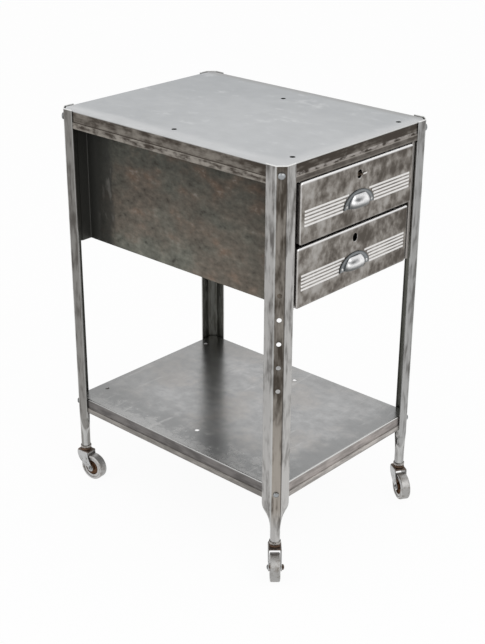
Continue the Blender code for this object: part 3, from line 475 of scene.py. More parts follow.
def pan_outline(side_inset, corner_inset, radius):
    """The stand's outline with cut corners, drawn in at the sides and at the 45 degree faces."""
    half_x = HALF_X - side_inset
    half_y = HALF_Y - side_inset
    face = HALF_X + HALF_Y - LEG_FACE - corner_inset / DIAGONAL
    cut_x = face - half_y
    cut_y = face - half_x
    corners = [(half_x, -cut_y), (half_x, cut_y), (cut_x, half_y), (-cut_x, half_y),
               (-half_x, cut_y), (-half_x, -cut_y), (-cut_x, -half_y), (cut_x, -half_y)]
    corners = [Vector(corner) for corner in corners]
    outline = []
    for before, corner, after in zip(corners[-1:] + corners, corners, corners[1:] + corners[:1]):
        outline += bend(before, corner, after, radius, steps=5)
    return outline


def build_pan(bm, side_inset, skirt, hem_height):
    """Plate, skirt, and the hem that stands out from the skirt by one fold of the sheet."""
    bend_out = PAN_BEND + PAN_SHEET
    corner_round = LEG_BEND - PAN_FIT - PAN_HEM
    fold = (PAN_HEM + PAN_SHEET) / 2
    hem_top = hem_height - skirt
    profile = [(bend_out * (1 - sine), -bend_out * (1 - cosine)) for cosine, sine in quarter(6)]
    profile += [(0, hem_top), (-PAN_HEM + HEM_CREASE, hem_top), (-PAN_HEM, hem_top - HEM_CREASE)]
    profile.append((-PAN_HEM, fold - skirt))
    for cosine, sine in quarter(5)[1:]:
        profile.append((fold - PAN_HEM - fold * cosine, fold * (1 - sine) - skirt))
    for cosine, sine in quarter(5)[::-1][1:]:
        profile.append((fold - PAN_HEM + fold * cosine, fold * (1 - sine) - skirt))
    for cosine, sine in quarter(4):
        profile.append((PAN_SHEET + PAN_BEND * (1 - cosine), PAN_BEND * sine - bend_out))
    loops = []
    for inset, drop in profile:
        radius = max(corner_round - inset, PAN_FIT)
        outline = pan_outline(side_inset + inset, PAN_CORNER_INSET + inset, radius)
        loops.append([(point.x, point.y, drop) for point in outline])
    skin(bm, loops)


def pan_hole_places(end, near_shift, far_shift):
    """Two pairs of plate holes set out from one end of the stand."""
    first = end * (HALF_Y - PAN_HOLE_FROM_END)
    second = first - end * PAN_HOLE_SPACING
    half = HALF_X - PAN_HOLE_FROM_SIDE
    rows = ((first, near_shift), (second, far_shift))
    return [(x + shift, y, 0) for x in (-half, half) for y, shift in rows]


def build_pan_holes(bm, places, bolt_drop):
    """The plate holes, and the bolt holes in the cut corners."""
    for x, y, z in places:
        bar(bm, (x, y, z - 2 * PAN_SHEET), (x, y, z + PAN_SHEET), PAN_HOLE_RADIUS)
    start = LEG_FACE / 2
    end = start + 2 * (PAN_CORNER_INSET + PAN_SHEET) * DIAGONAL
    for sign_x, sign_y in CORNERS.values():
        bar(bm, (sign_x * (HALF_X - start), sign_y * (HALF_Y - start), -bolt_drop),
            (sign_x * (HALF_X - end), sign_y * (HALF_Y - end), -bolt_drop), BOLT_HOLE_RADIUS)


def press_pan(name, level, side_inset, skirt, hem_height, holes, bolt_drop):
    """A pan between the legs with its plate at a level."""
    seat = Matrix.Translation((0, MIDDLE_Y, level))
    pan = new_piece(name, lambda bm: build_pan(bm, side_inset, skirt, hem_height), seat)
    shape(pan, lambda bm: build_pan_holes(bm, holes, bolt_drop), "DIFFERENCE")
    return pan


TOP_SCUFF_AND_SHEEN = (0.575, 0.582, 0.588)
TOP_SATIN = (0.482, 0.493, 0.503)
TOP_DULL_AND_SHADED = (0.385, 0.398, 0.410)
TOP_TARNISH = (0.33, 0.33, 0.325)
HOLE_SHADE = (0.012, 0.012, 0.011)
SKIRT_LIGHT = (0.225, 0.205, 0.180)
SKIRT_DARK = (0.060, 0.049, 0.040)
HEM_LIGHT = (0.31, 0.285, 0.255)
HEM_SHADE = (0.092, 0.080, 0.070)
BAND_GREY = (0.39, 0.362, 0.34)
EDGE_HIGHLIGHT = (0.70, 0.70, 0.69)


def top_finish(hole_places):
    """Satin plate, painted sheen at left and front, shade far back; smudged skirt, darker in front; rubbed
    hem.
    """
    made, place = new_finish("satin_top")
    x, y, z = axes(place)
    hem_top = TOP_HEM_HEIGHT - TOP_SKIRT
    front = ease(y, -HALF_Y + 6 * MM, -HALF_Y + 4.5 * MM)
    plate = ease(z - front * (0.8 * MM), -3.8 * MM, -0.8 * MM)
    under = ease(z, -16 * MM, -8 * MM)
    hem = ease(z, hem_top + 0.4 * MM, hem_top - 0.8 * MM)
    # Painted shadow line in the crease above the hem.
    crease = near(z, hem_top + 0.5 * MM, 1.5 * MM, 0.4 * MM) * (1 - front)
    band = near(z, hem_top + 1.4 * MM, 5.0 * MM, 2.8 * MM) * front
    # Painted highlights on the hem's upper ridge and on its lower fold.
    ridge = near(z, hem_top - 1.4 * MM, 1.8 * MM, 0.5 * MM)
    fold = ease(z, 5.0 * MM - TOP_SKIRT, 2.2 * MM - TOP_SKIRT)
    # Painted highlight along the plate's front edge.
    front_edge = near(z, -0.9 * MM, 1.5 * MM, 0.4 * MM) * front
    wipe = cloud(place, 110 * MM, (1, 0.6, 1), 4)
    haze = cloud(place, 26 * MM, (1, 0.6, 1), 5, 5, 0.58)
    brush = cloud(place, 2.2 * MM, (1, 0.03, 1), 3, 9)
    ragged_edge = (haze - 0.5) * (60 * MM)
    # Painted sheen: the plate is lighter along its left and front edges.
    edge_sheen = greater(ease(x + ragged_edge, -178 * MM, -204 * MM), ease(y + ragged_edge, -262 * MM, -294 * MM))
    # Painted shade: the plate darkens towards the back and right, mixed with random wipes.
    far_shade = ease(x, -60 * MM, 190 * MM) * 0.5 + ease(y, -150 * MM, 290 * MM) * 0.5
    tarnish = ease(x + ragged_edge * 0.4, 196 * MM, 218 * MM)
    scuffed = ease(haze * 0.6 + wipe * 0.4 + edge_sheen * 0.06, 0.55, 0.67)
    satin = mix(far_shade + (wipe - 0.5) * 0.7, TOP_SATIN, TOP_DULL_AND_SHADED)
    satin = coats(satin, (edge_sheen * 0.8, TOP_SCUFF_AND_SHEEN), (scuffed * 0.6, TOP_SCUFF_AND_SHEEN),
                  (tarnish * 0.75, TOP_TARNISH))
    satin = lit(satin, 0.92 + haze * 0.16)
    blotch = cloud(place, 46 * MM, (0.5, 0.5, 1), 4, 2)
    grime = cloud(place, 13 * MM, (0.5, 0.5, 1), 4, 4)
    streak = cloud(place, 6 * MM, (0.12, 0.12, 1), 3, 6)
    dark = ease(blotch * 0.4 + grime * 0.35 + streak * 0.25 + under * 0.03 + front * 0.06, 0.41, 0.61)
    worn_hem = mix(ease(streak * 0.3 + grime * 0.7, 0.40, 0.60), HEM_LIGHT, SKIRT_DARK)
    worn_hem = mix(front * 0.75, worn_hem, HEM_SHADE)
    skirt = coats(mix(dark, SKIRT_LIGHT, SKIRT_DARK), (hem * 0.92, worn_hem), (crease * 0.8, SKIRT_DARK),
                  (band * ease(grime, 0.62, 0.46) * 0.9, BAND_GREY),
                  (ridge * (0.3 + front * 0.35), HEM_LIGHT), (fold * 0.35, HEM_LIGHT))
    colour = coats(skirt, (plate, satin), (front_edge * 0.7, EDGE_HIGHLIGHT))
    # Painted shade inside the plate holes.
    for hole_place in hole_places:
        away = place.node("VectorMath", {"operation": "DISTANCE"}, {0: place, 1: hole_place}, "Value")
        hole = ease(away, PAN_HOLE_RADIUS + 0.9 * MM, PAN_HOLE_RADIUS + 0.3 * MM)
        colour = mix(hole, colour, HOLE_SHADE)
    colour = lit(colour, 0.97 + brush * 0.06)
    roughness = 0.46 - plate * 0.06 + dark * 0.06
    return close_finish(made, place, colour, roughness, wipe + grime * 0.3, 0.12 * MM)


top_holes = pan_hole_places(-1, 0, TOP_HOLE_SKEW)
top_pan = press_pan("hemmed_top", TOP_Z, PAN_CORNER_INSET, TOP_SKIRT, TOP_HEM_HEIGHT,
                    top_holes, TOP_BOLT_DROP)
stand_for(top_pan, PAN_EDGE, "top_pan", "frame", top_finish(top_holes))

# Shelf pan: the same pressing as the top, turned end for end and a little smaller, bolted low between the
# legs. Its plate is darker and shinier, with painted shade inside a scuffed rim and towards the back, tan
# tints and pale scratches.
SHELF_SKIRT = 34.3 * MM
SHELF_HEM_HEIGHT = 12.6 * MM
SHELF_SIDE_INSET = LEG_LIP + PAN_FIT + PAN_HEM
SHELF_HOLE_SHIFT = 6.0 * MM
SHELF_PALE = (0.315, 0.318, 0.322)
SHELF_GREY = (0.235, 0.238, 0.242)
SHELF_EDGE_SHADE = (0.115, 0.121, 0.126)
SHELF_TAN = (0.285, 0.262, 0.243)
SHELF_SCUFF = (0.47, 0.465, 0.46)
SHELF_SKIRT_GREY = (0.160, 0.150, 0.145)
SHELF_SKIRT_LIGHT = (0.345, 0.315, 0.298)
SHELF_HEM_GREY = (0.285, 0.268, 0.25)
SHELF_HEM_LIGHT = (0.43, 0.405, 0.382)


def shelf_finish():
    """Grey plate, painted shade inside left and front edges and to the back; tan tints, left scuffs,
    scratches.
    """
    made, place = new_finish("shaded_shelf")
    x, y, z = axes(place)
    hem_top = SHELF_HEM_HEIGHT - SHELF_SKIRT
    front = ease(y, -HALF_Y + 9 * MM, -HALF_Y + 7.5 * MM)
    plate = ease(z, -3.4 * MM, -0.8 * MM)
    hem = ease(z, hem_top + 1.0 * MM, hem_top - 1.4 * MM)
    # Painted shadow line in the crease above the hem.
    crease = near(z, hem_top + 1.2 * MM, 2.4 * MM, 0.5 * MM)
    fold = ease(z, 7.0 * MM - SHELF_SKIRT, 2.4 * MM - SHELF_SKIRT)
    # Painted highlight along the plate's rounded edge, stronger in front.
    plate_edge = near(z, -1.0 * MM, 1.8 * MM, 0.4 * MM)
    patch = cloud(place, 64 * MM, (1, 1, 1), 4, 0, 0.5)
    mottle = cloud(place, 18 * MM, (1, 0.8, 1), 4, 3, 0.5)
    tint = cloud(place, 110 * MM, (1, 0.8, 1), 4, 8)
    scratch = cloud(place, 22 * MM, (0.14, 1, 1), 6, 12, 0.6)
    brush = cloud(place, 2.4 * MM, (1, 0.03, 1), 3, 15)
    fleck = cloud(place, 5 * MM, (1, 0.8, 1), 4, 18, 0.6)
    blur = (patch - 0.5) * (110 * MM) + (mottle - 0.5) * (40 * MM)
    # Painted shade inside the left and front edges, with a ragged boundary.
    edge_shade = greater(ease(x + blur, -95 * MM, -178 * MM), ease(y + blur, -212 * MM, -282 * MM))
    scuffed = ease(patch * 0.45 + mottle * 0.55 + ease(x, -130 * MM, -215 * MM) * 0.06, 0.53, 0.66)
    scuffed = scuffed * (0.10 + ease(x, -110 * MM, -195 * MM) * 0.42)
    ragged_edge = ease(x + (mottle - 0.5) * (90 * MM), -194 * MM, -212 * MM)
    flat = mix(ease(mottle * 0.5 + patch * 0.5, 0.38, 0.62), SHELF_GREY, SHELF_PALE)
    flat = coats(flat, (ease(tint * 0.7 + mottle * 0.3, 0.47, 0.62) * 0.7, SHELF_TAN),
                 (edge_shade * 0.88, SHELF_EDGE_SHADE), (greater(scuffed, ragged_edge * 0.55), SHELF_SCUFF),
                 (ease(scratch, 0.60, 0.68) * 0.5, SHELF_SCUFF))
    # Painted shade falloff: darker towards the back and the right, and a little towards the left.
    shade_falloff = 0.89 - ease(y, 120 * MM, 270 * MM) * 0.36 - ease(x, 130 * MM, 190 * MM) * 0.16
    shade_falloff = shade_falloff - ease(x, -60 * MM, -140 * MM) * 0.07
    flat = lit(flat, shade_falloff * (0.93 + brush * 0.14) * (0.6 + mottle * 0.4 + fleck * 0.4))
    grime = cloud(place, 16 * MM, (0.4, 0.4, 1), 4, 4)
    streak = cloud(place, 3.2 * MM, (0.07, 0.07, 1), 3, 6)
    stained = ease(grime * 0.55 + streak * 0.45, 0.38, 0.62)
    # Painted light and shade: the front skirt and hem are lighter than the side ones.
    skirt = mix(front, SHELF_SKIRT_GREY, SHELF_SKIRT_LIGHT)
    skirt = mix(hem, skirt, mix(front, SHELF_HEM_GREY, SHELF_HEM_LIGHT))
    skirt = lit(skirt, 1.26 - stained * 0.52)
    colour = coats(skirt, (crease * 0.18, SKIRT_DARK), (fold * 0.35, SHELF_SKIRT_GREY), (plate, flat),
                   (plate_edge * (0.45 + front * 0.5), EDGE_HIGHLIGHT))
    roughness = 0.44 - plate * 0.20 + scuffed * 0.10
    return close_finish(made, place, colour, roughness, patch + mottle * 0.3, 0.12 * MM)


shelf_holes = pan_hole_places(1, SHELF_HOLE_SHIFT, SHELF_HOLE_SHIFT)
shelf_pan = press_pan("hemmed_shelf", SHELF_Z, SHELF_SIDE_INSET, SHELF_SKIRT, SHELF_HEM_HEIGHT,
                      shelf_holes, SHELF_BOLT_DROP)
stand_for(shelf_pan, PAN_EDGE, "shelf_pan", "frame", shelf_finish())

# Bolts and nuts: round-head steel bolts through the corner faces, one at the top and one at the shelf in each
# leg. A hexagon nut behind the pan's cut corner draws each one tight. Heads are grey with a dark seat.
BOLT_RADIUS = 3.2 * MM
BOLT_LENGTH = 15.0 * MM
BOLT_EDGE = 0.15 * MM
TOP_HEAD = (7.2 * MM, 4.6 * MM)
SHELF_HEAD = (5.9 * MM, 4.0 * MM)
HEAD_LAND = 0.12
HEAD_FIT = 0.3 * MM
HEAD_BRIGHT = (0.33, 0.345, 0.355)
HEAD_DULL = (0.11, 0.105, 0.098)
SEAT_DARK = (0.035, 0.032, 0.028)
NUT_GREY = (0.22, 0.21, 0.195)


def turned(bm, profile, sides, upright=True, closed=False):
    """Turn (radius, height) points about the local Z axis, or about Y when it lies down."""
    loops = []
    for radius, height in profile:
        ring = circle(radius, sides)
        loops.append([(x, y, height) if upright else (x, height, y) for x, y in ring])
    skin(bm, loops, closed)


def dome(radius, seat, height, steps=7):
    """Profile of a round head, from its crown to its seat."""
    return [(radius * cosine, seat + height * sine) for cosine, sine in quarter(steps)[-2::-1]]


def build_bolt(bm, head_radius, head_height):
    """A round head with a small land at its seat, and the shank below it."""
    land = HEAD_LAND * head_height
    profile = dome(head_radius, land, head_height - land, steps=9)
    profile += [(head_radius, 0), (BOLT_RADIUS, 0), (BOLT_RADIUS, -BOLT_LENGTH)]
    turned(bm, profile, sides=36)


def fastener_finish(name, bright, dull, roughness):
    """Worn steel: bright where it is rubbed, dull and brown in the hollows."""
    made, place = new_finish(name)
    worn = cloud(place, 6 * MM, detail=5)
    speck = cloud(place, 1.8 * MM, shift=4)
    dirt = ease(worn * 0.6 + speck * 0.4, 0.46, 0.66)
    return close_finish(made, place, mix(dirt, bright, dull), roughness + dirt * 0.2, speck, 0.05 * MM)


def bolt_head_finish():
    """Grey head, lighter on its crown, darker at its seat."""
    made, place = new_finish("worn_bolt")
    rise = axes(place)[2]
    crown = ease(rise, 1.6 * MM, 4.2 * MM)
    seat = ease(rise, 1.3 * MM, 0.5 * MM)
    worn = cloud(place, 5 * MM, detail=5)
    colour = mix(ease(worn - crown * 0.12, 0.40, 0.62), HEAD_BRIGHT, HEAD_DULL)
    colour = mix(seat * 0.8, colour, SEAT_DARK)
    return close_finish(made, place, colour, 0.28 + seat * 0.2, worn, 0.08 * MM)


bolt_finish = bolt_head_finish()
nut_finish = fastener_finish("dull_nut", NUT_GREY, HEAD_DULL, 0.42)
for corner, (sign_x, sign_y) in CORNERS.items():
    out = Vector((sign_x, sign_y, 0)).normalized()
    facing = out.to_track_quat("Z", "Y").to_matrix().to_4x4()
    inset = LEG_FACE / 2
    face = Vector((sign_x * (HALF_X - inset), MIDDLE_Y + sign_y * (HALF_Y - inset), 0)) + out * HEAD_FIT
    for level, height, head in (("top", TOP_Z - TOP_BOLT_DROP, TOP_HEAD),
                                ("shelf", SHELF_Z - SHELF_BOLT_DROP, SHELF_HEAD)):
        name = level + "_bolt_" + corner
        seat = Matrix.Translation(face + Vector((0, 0, height)))
        bolt = new_piece("round_head_" + name, lambda bm: build_bolt(bm, *head), seat @ facing)
        stand_for(bolt, BOLT_EDGE, name, "frame", bolt_finish)
        paint(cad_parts[level + "_nut_" + corner], nut_finish)

# Drawer case: two side channels and a back plate of sheet steel, hung under the top pan between the legs.
# The sheet was never polished: mottled grey-green scale and rust near the top. Painted shade lies in the rear
# corners and near the front legs.
CASE_OLIVE = (0.118, 0.118, 0.100)
CASE_BROWN = (0.112, 0.097, 0.080)
CASE_RUST = (0.145, 0.084, 0.054)
CASE_PALE = (0.215, 0.205, 0.188)
CASE_PIT = (0.040, 0.033, 0.027)
CASE_REAR_SHADE = (0.046, 0.046, 0.042)
CASE_CORNER_SHADE = (0.085, 0.085, 0.078)
STILE_GREY = (0.34, 0.32, 0.30)
case_low, case_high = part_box("case_side_left")


def case_finish(name):
    """Mottled scale, rusty high up and paler low down, painted shade at rear and front, a rubbed front edge.
    """
    made, place = new_finish("scaled_" + name)
    x, y, z = axes(place)
    broad = cloud(place, 110 * MM, (1, 0.7, 1))
    bloom = cloud(place, 34 * MM, (1, 0.6, 1), 4, 3)
    mottle = cloud(place, 10 * MM, (1, 0.6, 1), 5, 6, 0.6)
    speck = cloud(place, 4 * MM, (1, 0.7, 1), 3, 9)
    smear = cloud(place, 16 * MM, (1, 0.8, 0.3), 4, 12)
    high = ease(z, case_high.z - 140 * MM, case_high.z - 30 * MM)
    descent = ease(z, case_high.z - 10 * MM, case_low.z + 10 * MM)
    # Painted shadow: ahead darkens and browns the sheet towards the front legs.
    ahead = ease(y, case_low.y + 140 * MM, case_low.y + 80 * MM)
    stile = ease(y, case_low.y + 3.2 * MM, case_low.y + 2.4 * MM)
    # Painted shade in the rear corners and on the back plate's edges, with pale smears in it.
    if name == "case_back":
        rear_shade = ease(abs(x), -case_low.x - 30 * MM, -case_low.x)
        corner_shade = rear_shade * 0.5
    else:
        rear_shade = ease(y + (smear - 0.5) * (50 * MM), case_high.y - 90 * MM, case_high.y - 64 * MM)
        corner_shade = ease(y, case_high.y - 42 * MM, case_high.y - 20 * MM)
    tone = bloom * 0.5 + mottle * 0.5
    rust = ease(bloom * 0.6 + broad * 0.4 + high * 0.11 + ahead * 0.02, 0.54, 0.70)
    rust = greater(rust * 0.4, ease(speck, 0.61, 0.70) * (0.15 + high * 0.3))
    colour = mix(ease(broad * 0.7 + bloom * 0.3, 0.40, 0.60), CASE_OLIVE, CASE_BROWN)
    colour = coats(colour, (ahead * 0.6, CASE_BROWN), (rust, CASE_RUST))
    colour = lit(colour, (tone * 2.8 - 0.4) * (0.62 + descent * 0.72) * (1.02 - ahead * 0.16))
    colour = coats(colour, (ease(tone, 0.575, 0.68) * 0.5, CASE_PALE),
                   (ease(tone, 0.42, 0.33) * 0.5, CASE_PIT), (rear_shade * 0.8, CASE_REAR_SHADE),
                   (rear_shade * ease(smear, 0.53, 0.68) * 0.5, CASE_PALE), (corner_shade, CASE_CORNER_SHADE),
                   (stile, STILE_GREY))
    roughness = 0.50 + bloom * 0.1 - ease(tone, 0.5, 0.68) * 0.08
    return close_finish(made, place, colour, roughness, mottle, 0.12 * MM, 0.9)


for name in ("case_side_left", "case_side_right", "case_back"):
    paint(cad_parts[name], case_finish(name))

# Runners: four bent angles of plain sheet steel inside the case, which the drawers slide on.
# They are rubbed bright along the track and dull elsewhere.
DRAWERS = ("upper", "lower")
RUNNER_TRACK = (0.34, 0.335, 0.32)
RUNNER_DULL = (0.12, 0.112, 0.098)


def runner_finish():
    made, place = new_finish("rubbed_runner")
    rub = cloud(place, 12 * MM, (1, 0.06, 1), 4)
    spot = cloud(place, 9 * MM, detail=4, shift=5)
    worn = ease(rub * 0.7 + spot * 0.3, 0.42, 0.60)
    colour = mix(worn, RUNNER_DULL, RUNNER_TRACK)
    return close_finish(made, place, colour, 0.52 - worn * 0.16, rub, 0.08 * MM)


runner_steel = runner_finish()
for side in ("left", "right"):
    for level in DRAWERS:
        paint(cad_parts["runner_" + level + "_" + side], runner_steel)

# Drawer boxes: folded and spot-welded sheet steel, open at the top, riveted behind each front.
# The inside kept its thin grey scale, with scratches along the floor.
BOX_GREY = (0.19, 0.185, 0.175)
BOX_DULL = (0.085, 0.08, 0.07)
BOX_SCRATCH = (0.36, 0.355, 0.345)
BOX_SHADE = (0.010, 0.010, 0.009)


def box_finish(level, front_y):
    """Thin grey scale, scratched along the floor; painted shade on the wall that lies against the front."""
    made, place = new_finish("scaled_drawer_box_" + level)
    # Painted shade on the wall behind the front, seen through the lock hole.
    hidden = ease(axes(place)[1], front_y + 3.0 * MM, front_y + 2.0 * MM)
    scale = cloud(place, 55 * MM, (1, 0.7, 1), 6)
    speck = cloud(place, 8 * MM, detail=4, shift=4)
    scratch = cloud(place, 5 * MM, (1, 0.04, 0.3), 4, 8)
    colour = mix(ease(scale * 0.7 + speck * 0.3, 0.40, 0.62), BOX_GREY, BOX_DULL)
    colour = coats(colour, (ease(scratch, 0.60, 0.70) * 0.6, BOX_SCRATCH), (hidden, BOX_SHADE))
    return close_finish(made, place, colour, 0.40 + speck * 0.2, speck, 0.06 * MM)


for level in DRAWERS:
    name = level + "_drawer_box"
    paint(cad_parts[name], box_finish(level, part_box(name)[0].y))

# Drawer fronts: shallow trays pressed from one sheet, with rolled edges, five ribs on either side of the pull
# and a round-ended lock hole. The face is stained and smeared, and painted darker to the right; the ribs are
# rubbed bright, and the top and side edges carry painted highlights.
FRONT_SHEET = 1.2 * MM
FRONT_BEND = 3.0 * MM
FRONT_RETURN = 10.0 * MM
FRONT_CORNER = 6.0 * MM
FRONT_EDGE = 0.15 * MM
FRONT_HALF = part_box("upper_drawer_front")[1].x
RIB_COUNT = 5
RIB_PITCH = 7.05 * MM
RIB_HALF = 2.9 * MM
RIB_HEIGHT = 1.6 * MM
RIB_FULLNESS = 0.8
RIB_CENTRE_DROP = 72.0 * MM
RIB_END_GAP = 10.0 * MM
RIB_PULL_GAP = 1.0 * MM
PULL_HALF = 46.6 * MM
PULL_HEIGHT = 32.5 * MM
PULL_FOOT = 15.0 * MM
PULL_BASE_DROP = 86.0 * MM
KEYHOLE_HALF_WIDTH = 7.1 * MM
KEYHOLE_HALF_HEIGHT = 8.8 * MM
KEYHOLE_DROP = 23.0 * MM
RIVET_HOLE_RADIUS = 2.1 * MM
RIVET_RISE = 5.8 * MM


def spaced(stops, fine, coarse, reach=6 * MM):
    """Places from the first stop to the last, close together within reach of a stop and wider elsewhere."""
    places = []
    here = stops[0]
    while here < stops[-1] - fine / 2:
        places.append(here)
        nearest = min(abs(here - stop) for stop in stops)
        here += fine if nearest < reach else coarse
    places.append(stops[-1])
    return places


def pull_edge(rise):
    """Half width of the pull's rim at a height above its base."""
    share = min(max(rise, 0) / PULL_HEIGHT, 1.0)
    return PULL_HALF * math.sqrt(1 - share * share)


def rib_levels(height):
    """Heights of the ribs on a front, from the lowest up."""
    lowest = height - RIB_CENTRE_DROP - (RIB_COUNT - 1) / 2 * RIB_PITCH
    return [lowest + i * RIB_PITCH for i in range(RIB_COUNT)]


def rib_height(x, z, height):
    """How far the pressed face stands out at a point."""
    outer = FRONT_HALF - RIB_END_GAP
    base = height - PULL_BASE_DROP
    best = 0.0
    for level in rib_levels(height):
        across = abs(z - level)
        if across < RIB_HALF:
            inner = pull_edge(level - RIB_HALF - base) + RIB_PULL_GAP
            beyond = max(abs(x) - (outer - RIB_HALF), (inner + RIB_HALF) - abs(x), 0.0)
            away = math.hypot(across, beyond) / RIB_HALF
            if away < 1:
                best = max(best, RIB_HEIGHT * math.cos(math.pi / 2 * away) ** RIB_FULLNESS)
    return best


def front_point(x, z, height):
    """A point of the flat face drawn in to its round corner, and the way out to the rolled edge."""
    straight_x = FRONT_HALF - FRONT_CORNER
    straight_z = height / 2 - FRONT_CORNER
    up = z - height / 2
    over_x = abs(x) - straight_x
    over_z = abs(up) - straight_z
    if over_x > 0 and over_z > 0:
        pull_in = max(over_x, over_z) / math.hypot(over_x, over_z)
        corner_x = math.copysign(straight_x, x)
        corner_z = height / 2 + math.copysign(straight_z, up)
        over = Vector((math.copysign(over_x * pull_in, x), math.copysign(over_z * pull_in, up)))
        return (corner_x + over.x, corner_z + over.y, *over.normalized())
    if over_x > over_z:
        return (x, z, math.copysign(1, x), 0)
    return (x, z, 0, math.copysign(1, up))


def build_front(bm, height):
    """A fine face with its ribs, then the rolled edge and the return behind it."""
    flat_x = FRONT_HALF - FRONT_BEND
    rows = spaced([FRONT_BEND] + rib_levels(height) + [height - FRONT_BEND], fine=0.45 * MM, coarse=3 * MM)
    rib_end = FRONT_HALF - RIB_END_GAP - RIB_HALF
    right = spaced([0, rib_end, flat_x], fine=0.6 * MM, coarse=1.5 * MM)
    columns = [-x for x in right[::-1]] + right[1:]
    grid = []
    for z in rows:
        line = []
        for x in columns:
            across, level = front_point(x, z, height)[:2]
            line.append(bm.verts.new((across, -rib_height(x, z, height), level)))
        grid.append(line)
    for row, following in zip(grid, grid[1:]):
        ribbon(bm, row, following, closed=False)
    border = [(x, rows[0]) for x in columns[:-1]]
    border += [(flat_x, z) for z in rows[:-1]]
    border += [(x, rows[-1]) for x in columns[:0:-1]]
    border += [(-flat_x, z) for z in rows[:0:-1]]
    border = [front_point(x, z, height) for x, z in border]
    inner_bend = FRONT_BEND - FRONT_SHEET
    profile = [(FRONT_BEND * sine, FRONT_BEND * (1 - cosine)) for cosine, sine in quarter(7)]
    profile += [(FRONT_BEND, FRONT_RETURN), (inner_bend, FRONT_RETURN)]
    profile += [(inner_bend * cosine, FRONT_BEND - inner_bend * sine) for cosine, sine in quarter(4)]
    loops = []
    for out, back in profile:
        loop = [(x + way_x * out, back, z + way_z * out) for x, z, way_x, way_z in border]
        loops.append([bm.verts.new(point) for point in loop])
    for ring, following in zip(loops, loops[1:]):
        ribbon(bm, ring, following)
    bm.faces.new(loops[-1])


def slot_outline(middle, half_length, half_width, steps=14):
    """An upright slot with round ends."""
    points = []
    for end in (1, -1):
        for step in range(steps + 1):
            angle = math.pi * step / steps
            rise = half_length - half_width + half_width * math.sin(angle)
            points.append((end * half_width * math.cos(angle), middle + end * rise))
    return points


def cut_rivet_holes(bm, base, start, end):
    """Holes for the two rivets of a pull, from start to end along Y."""
    inset = pull_edge(RIVET_RISE) - PULL_FOOT / 2
    z = base + RIVET_RISE
    for x in (-inset, inset):
        bar(bm, (x, start, z), (x, end, z), RIVET_HOLE_RADIUS, sides=20)


def build_front_cuts(bm, height):
    """Lock hole and rivet holes."""
    slot = slot_outline(height - KEYHOLE_DROP, KEYHOLE_HALF_HEIGHT, KEYHOLE_HALF_WIDTH)
    start = -2 * RIB_HEIGHT
    end = 3 * FRONT_SHEET
    skin(bm, [[(x, y, z) for x, z in slot] for y in (start, end)])
    cut_rivet_holes(bm, height - PULL_BASE_DROP, start, end)


FRONT_TOP_HIGHLIGHT = (0.88, 0.875, 0.87)
FRONT_WEAR_AND_HIGHLIGHT = (0.78, 0.765, 0.75)
FRONT_PALE = (0.40, 0.382, 0.36)
FRONT_GREY = (0.238, 0.217, 0.194)
FRONT_STAIN = (0.098, 0.084, 0.071)


def front_finish(level, height, shift):
    """Smeared face with bright ribs, painted highlights on the top and side edges, a wiped streak under the
    pull.
    """
    made, place = new_finish("smeared_front_" + level)
    x, y, z = axes(place)
    rib = ease(y, -0.35 * MM, -1.15 * MM)
    rib_middle = height - RIB_CENTRE_DROP
    rib_rows = RIB_COUNT / 2 * RIB_PITCH
    between = near(z, rib_middle, rib_rows + 1 * MM, rib_rows - 2 * MM)
    between = between * ease(abs(x), PULL_HALF - 8 * MM, PULL_HALF)
    between = between * ease(abs(x), FRONT_HALF - 8 * MM, FRONT_HALF - 12 * MM)
    beside_ribs = near(z, rib_middle, rib_rows + 15 * MM, rib_rows + 1 * MM)
    # Painted highlight on the rolled side edges; the lock hole's crescent is partly burr, partly painted
    # highlight.
    side_edge = ease(FRONT_HALF - abs(x), 3.6 * MM, 1.0 * MM)
    top_edge = ease(height - z, 6.0 * MM, 1.6 * MM)
    foot_edge = ease(z, 6.0 * MM, 1.5 * MM)
    pull_base = height - PULL_BASE_DROP
    streak = ease(z, pull_base, pull_base - 6 * MM) * near(x, -8 * MM, 15 * MM, 4 * MM)
    across = x * (1 / KEYHOLE_HALF_WIDTH)
    rise = (z - (height - KEYHOLE_DROP)) * (1 / KEYHOLE_HALF_HEIGHT)
    from_lock = (across * across + rise * rise).root()
    crescent = near(from_lock, 1.05, 0.20, 0.06) * ease(across - rise, 0.2, 1.0)
    smear = cloud(place, 30 * MM, (0.7, 1, 0.8), 3, shift)
    wipe = cloud(place, 11 * MM, (0.8, 1, 0.6), 3, shift + 3)
    stain = cloud(place, 64 * MM, (0.6, 1, 1), 3, shift + 6)
    brush = cloud(place, 1.5 * MM, (1, 1, 0.06), 3, shift + 9)
    # The - x term is painted light falloff: the face darkens towards the right.
    tone = stain * 0.2 + smear * 0.45 + wipe * 0.35 + beside_ribs * 0.03 + streak * 0.07 - x * 0.22
    colour = mix(ease(tone, 0.40, 0.575), FRONT_STAIN, FRONT_GREY)
    colour = coats(colour, (ease(tone, 0.495, 0.665), FRONT_PALE), (between * 0.25, FRONT_PALE),
                   (foot_edge * 0.4, FRONT_PALE), (side_edge * 0.5, FRONT_WEAR_AND_HIGHLIGHT),
                   (crescent * 0.55, FRONT_WEAR_AND_HIGHLIGHT), (rib, FRONT_WEAR_AND_HIGHLIGHT))
    # Painted highlight along the rolled top edge.
    colour = mix(top_edge, lit(colour, 0.90 + brush * 0.20), FRONT_TOP_HIGHLIGHT)
    roughness = 0.42 + ease(tone, 0.54, 0.40) * 0.08 - greater(top_edge, rib) * 0.10
    return close_finish(made, place, colour, roughness, smear + wipe * 0.4, 0.15 * MM)


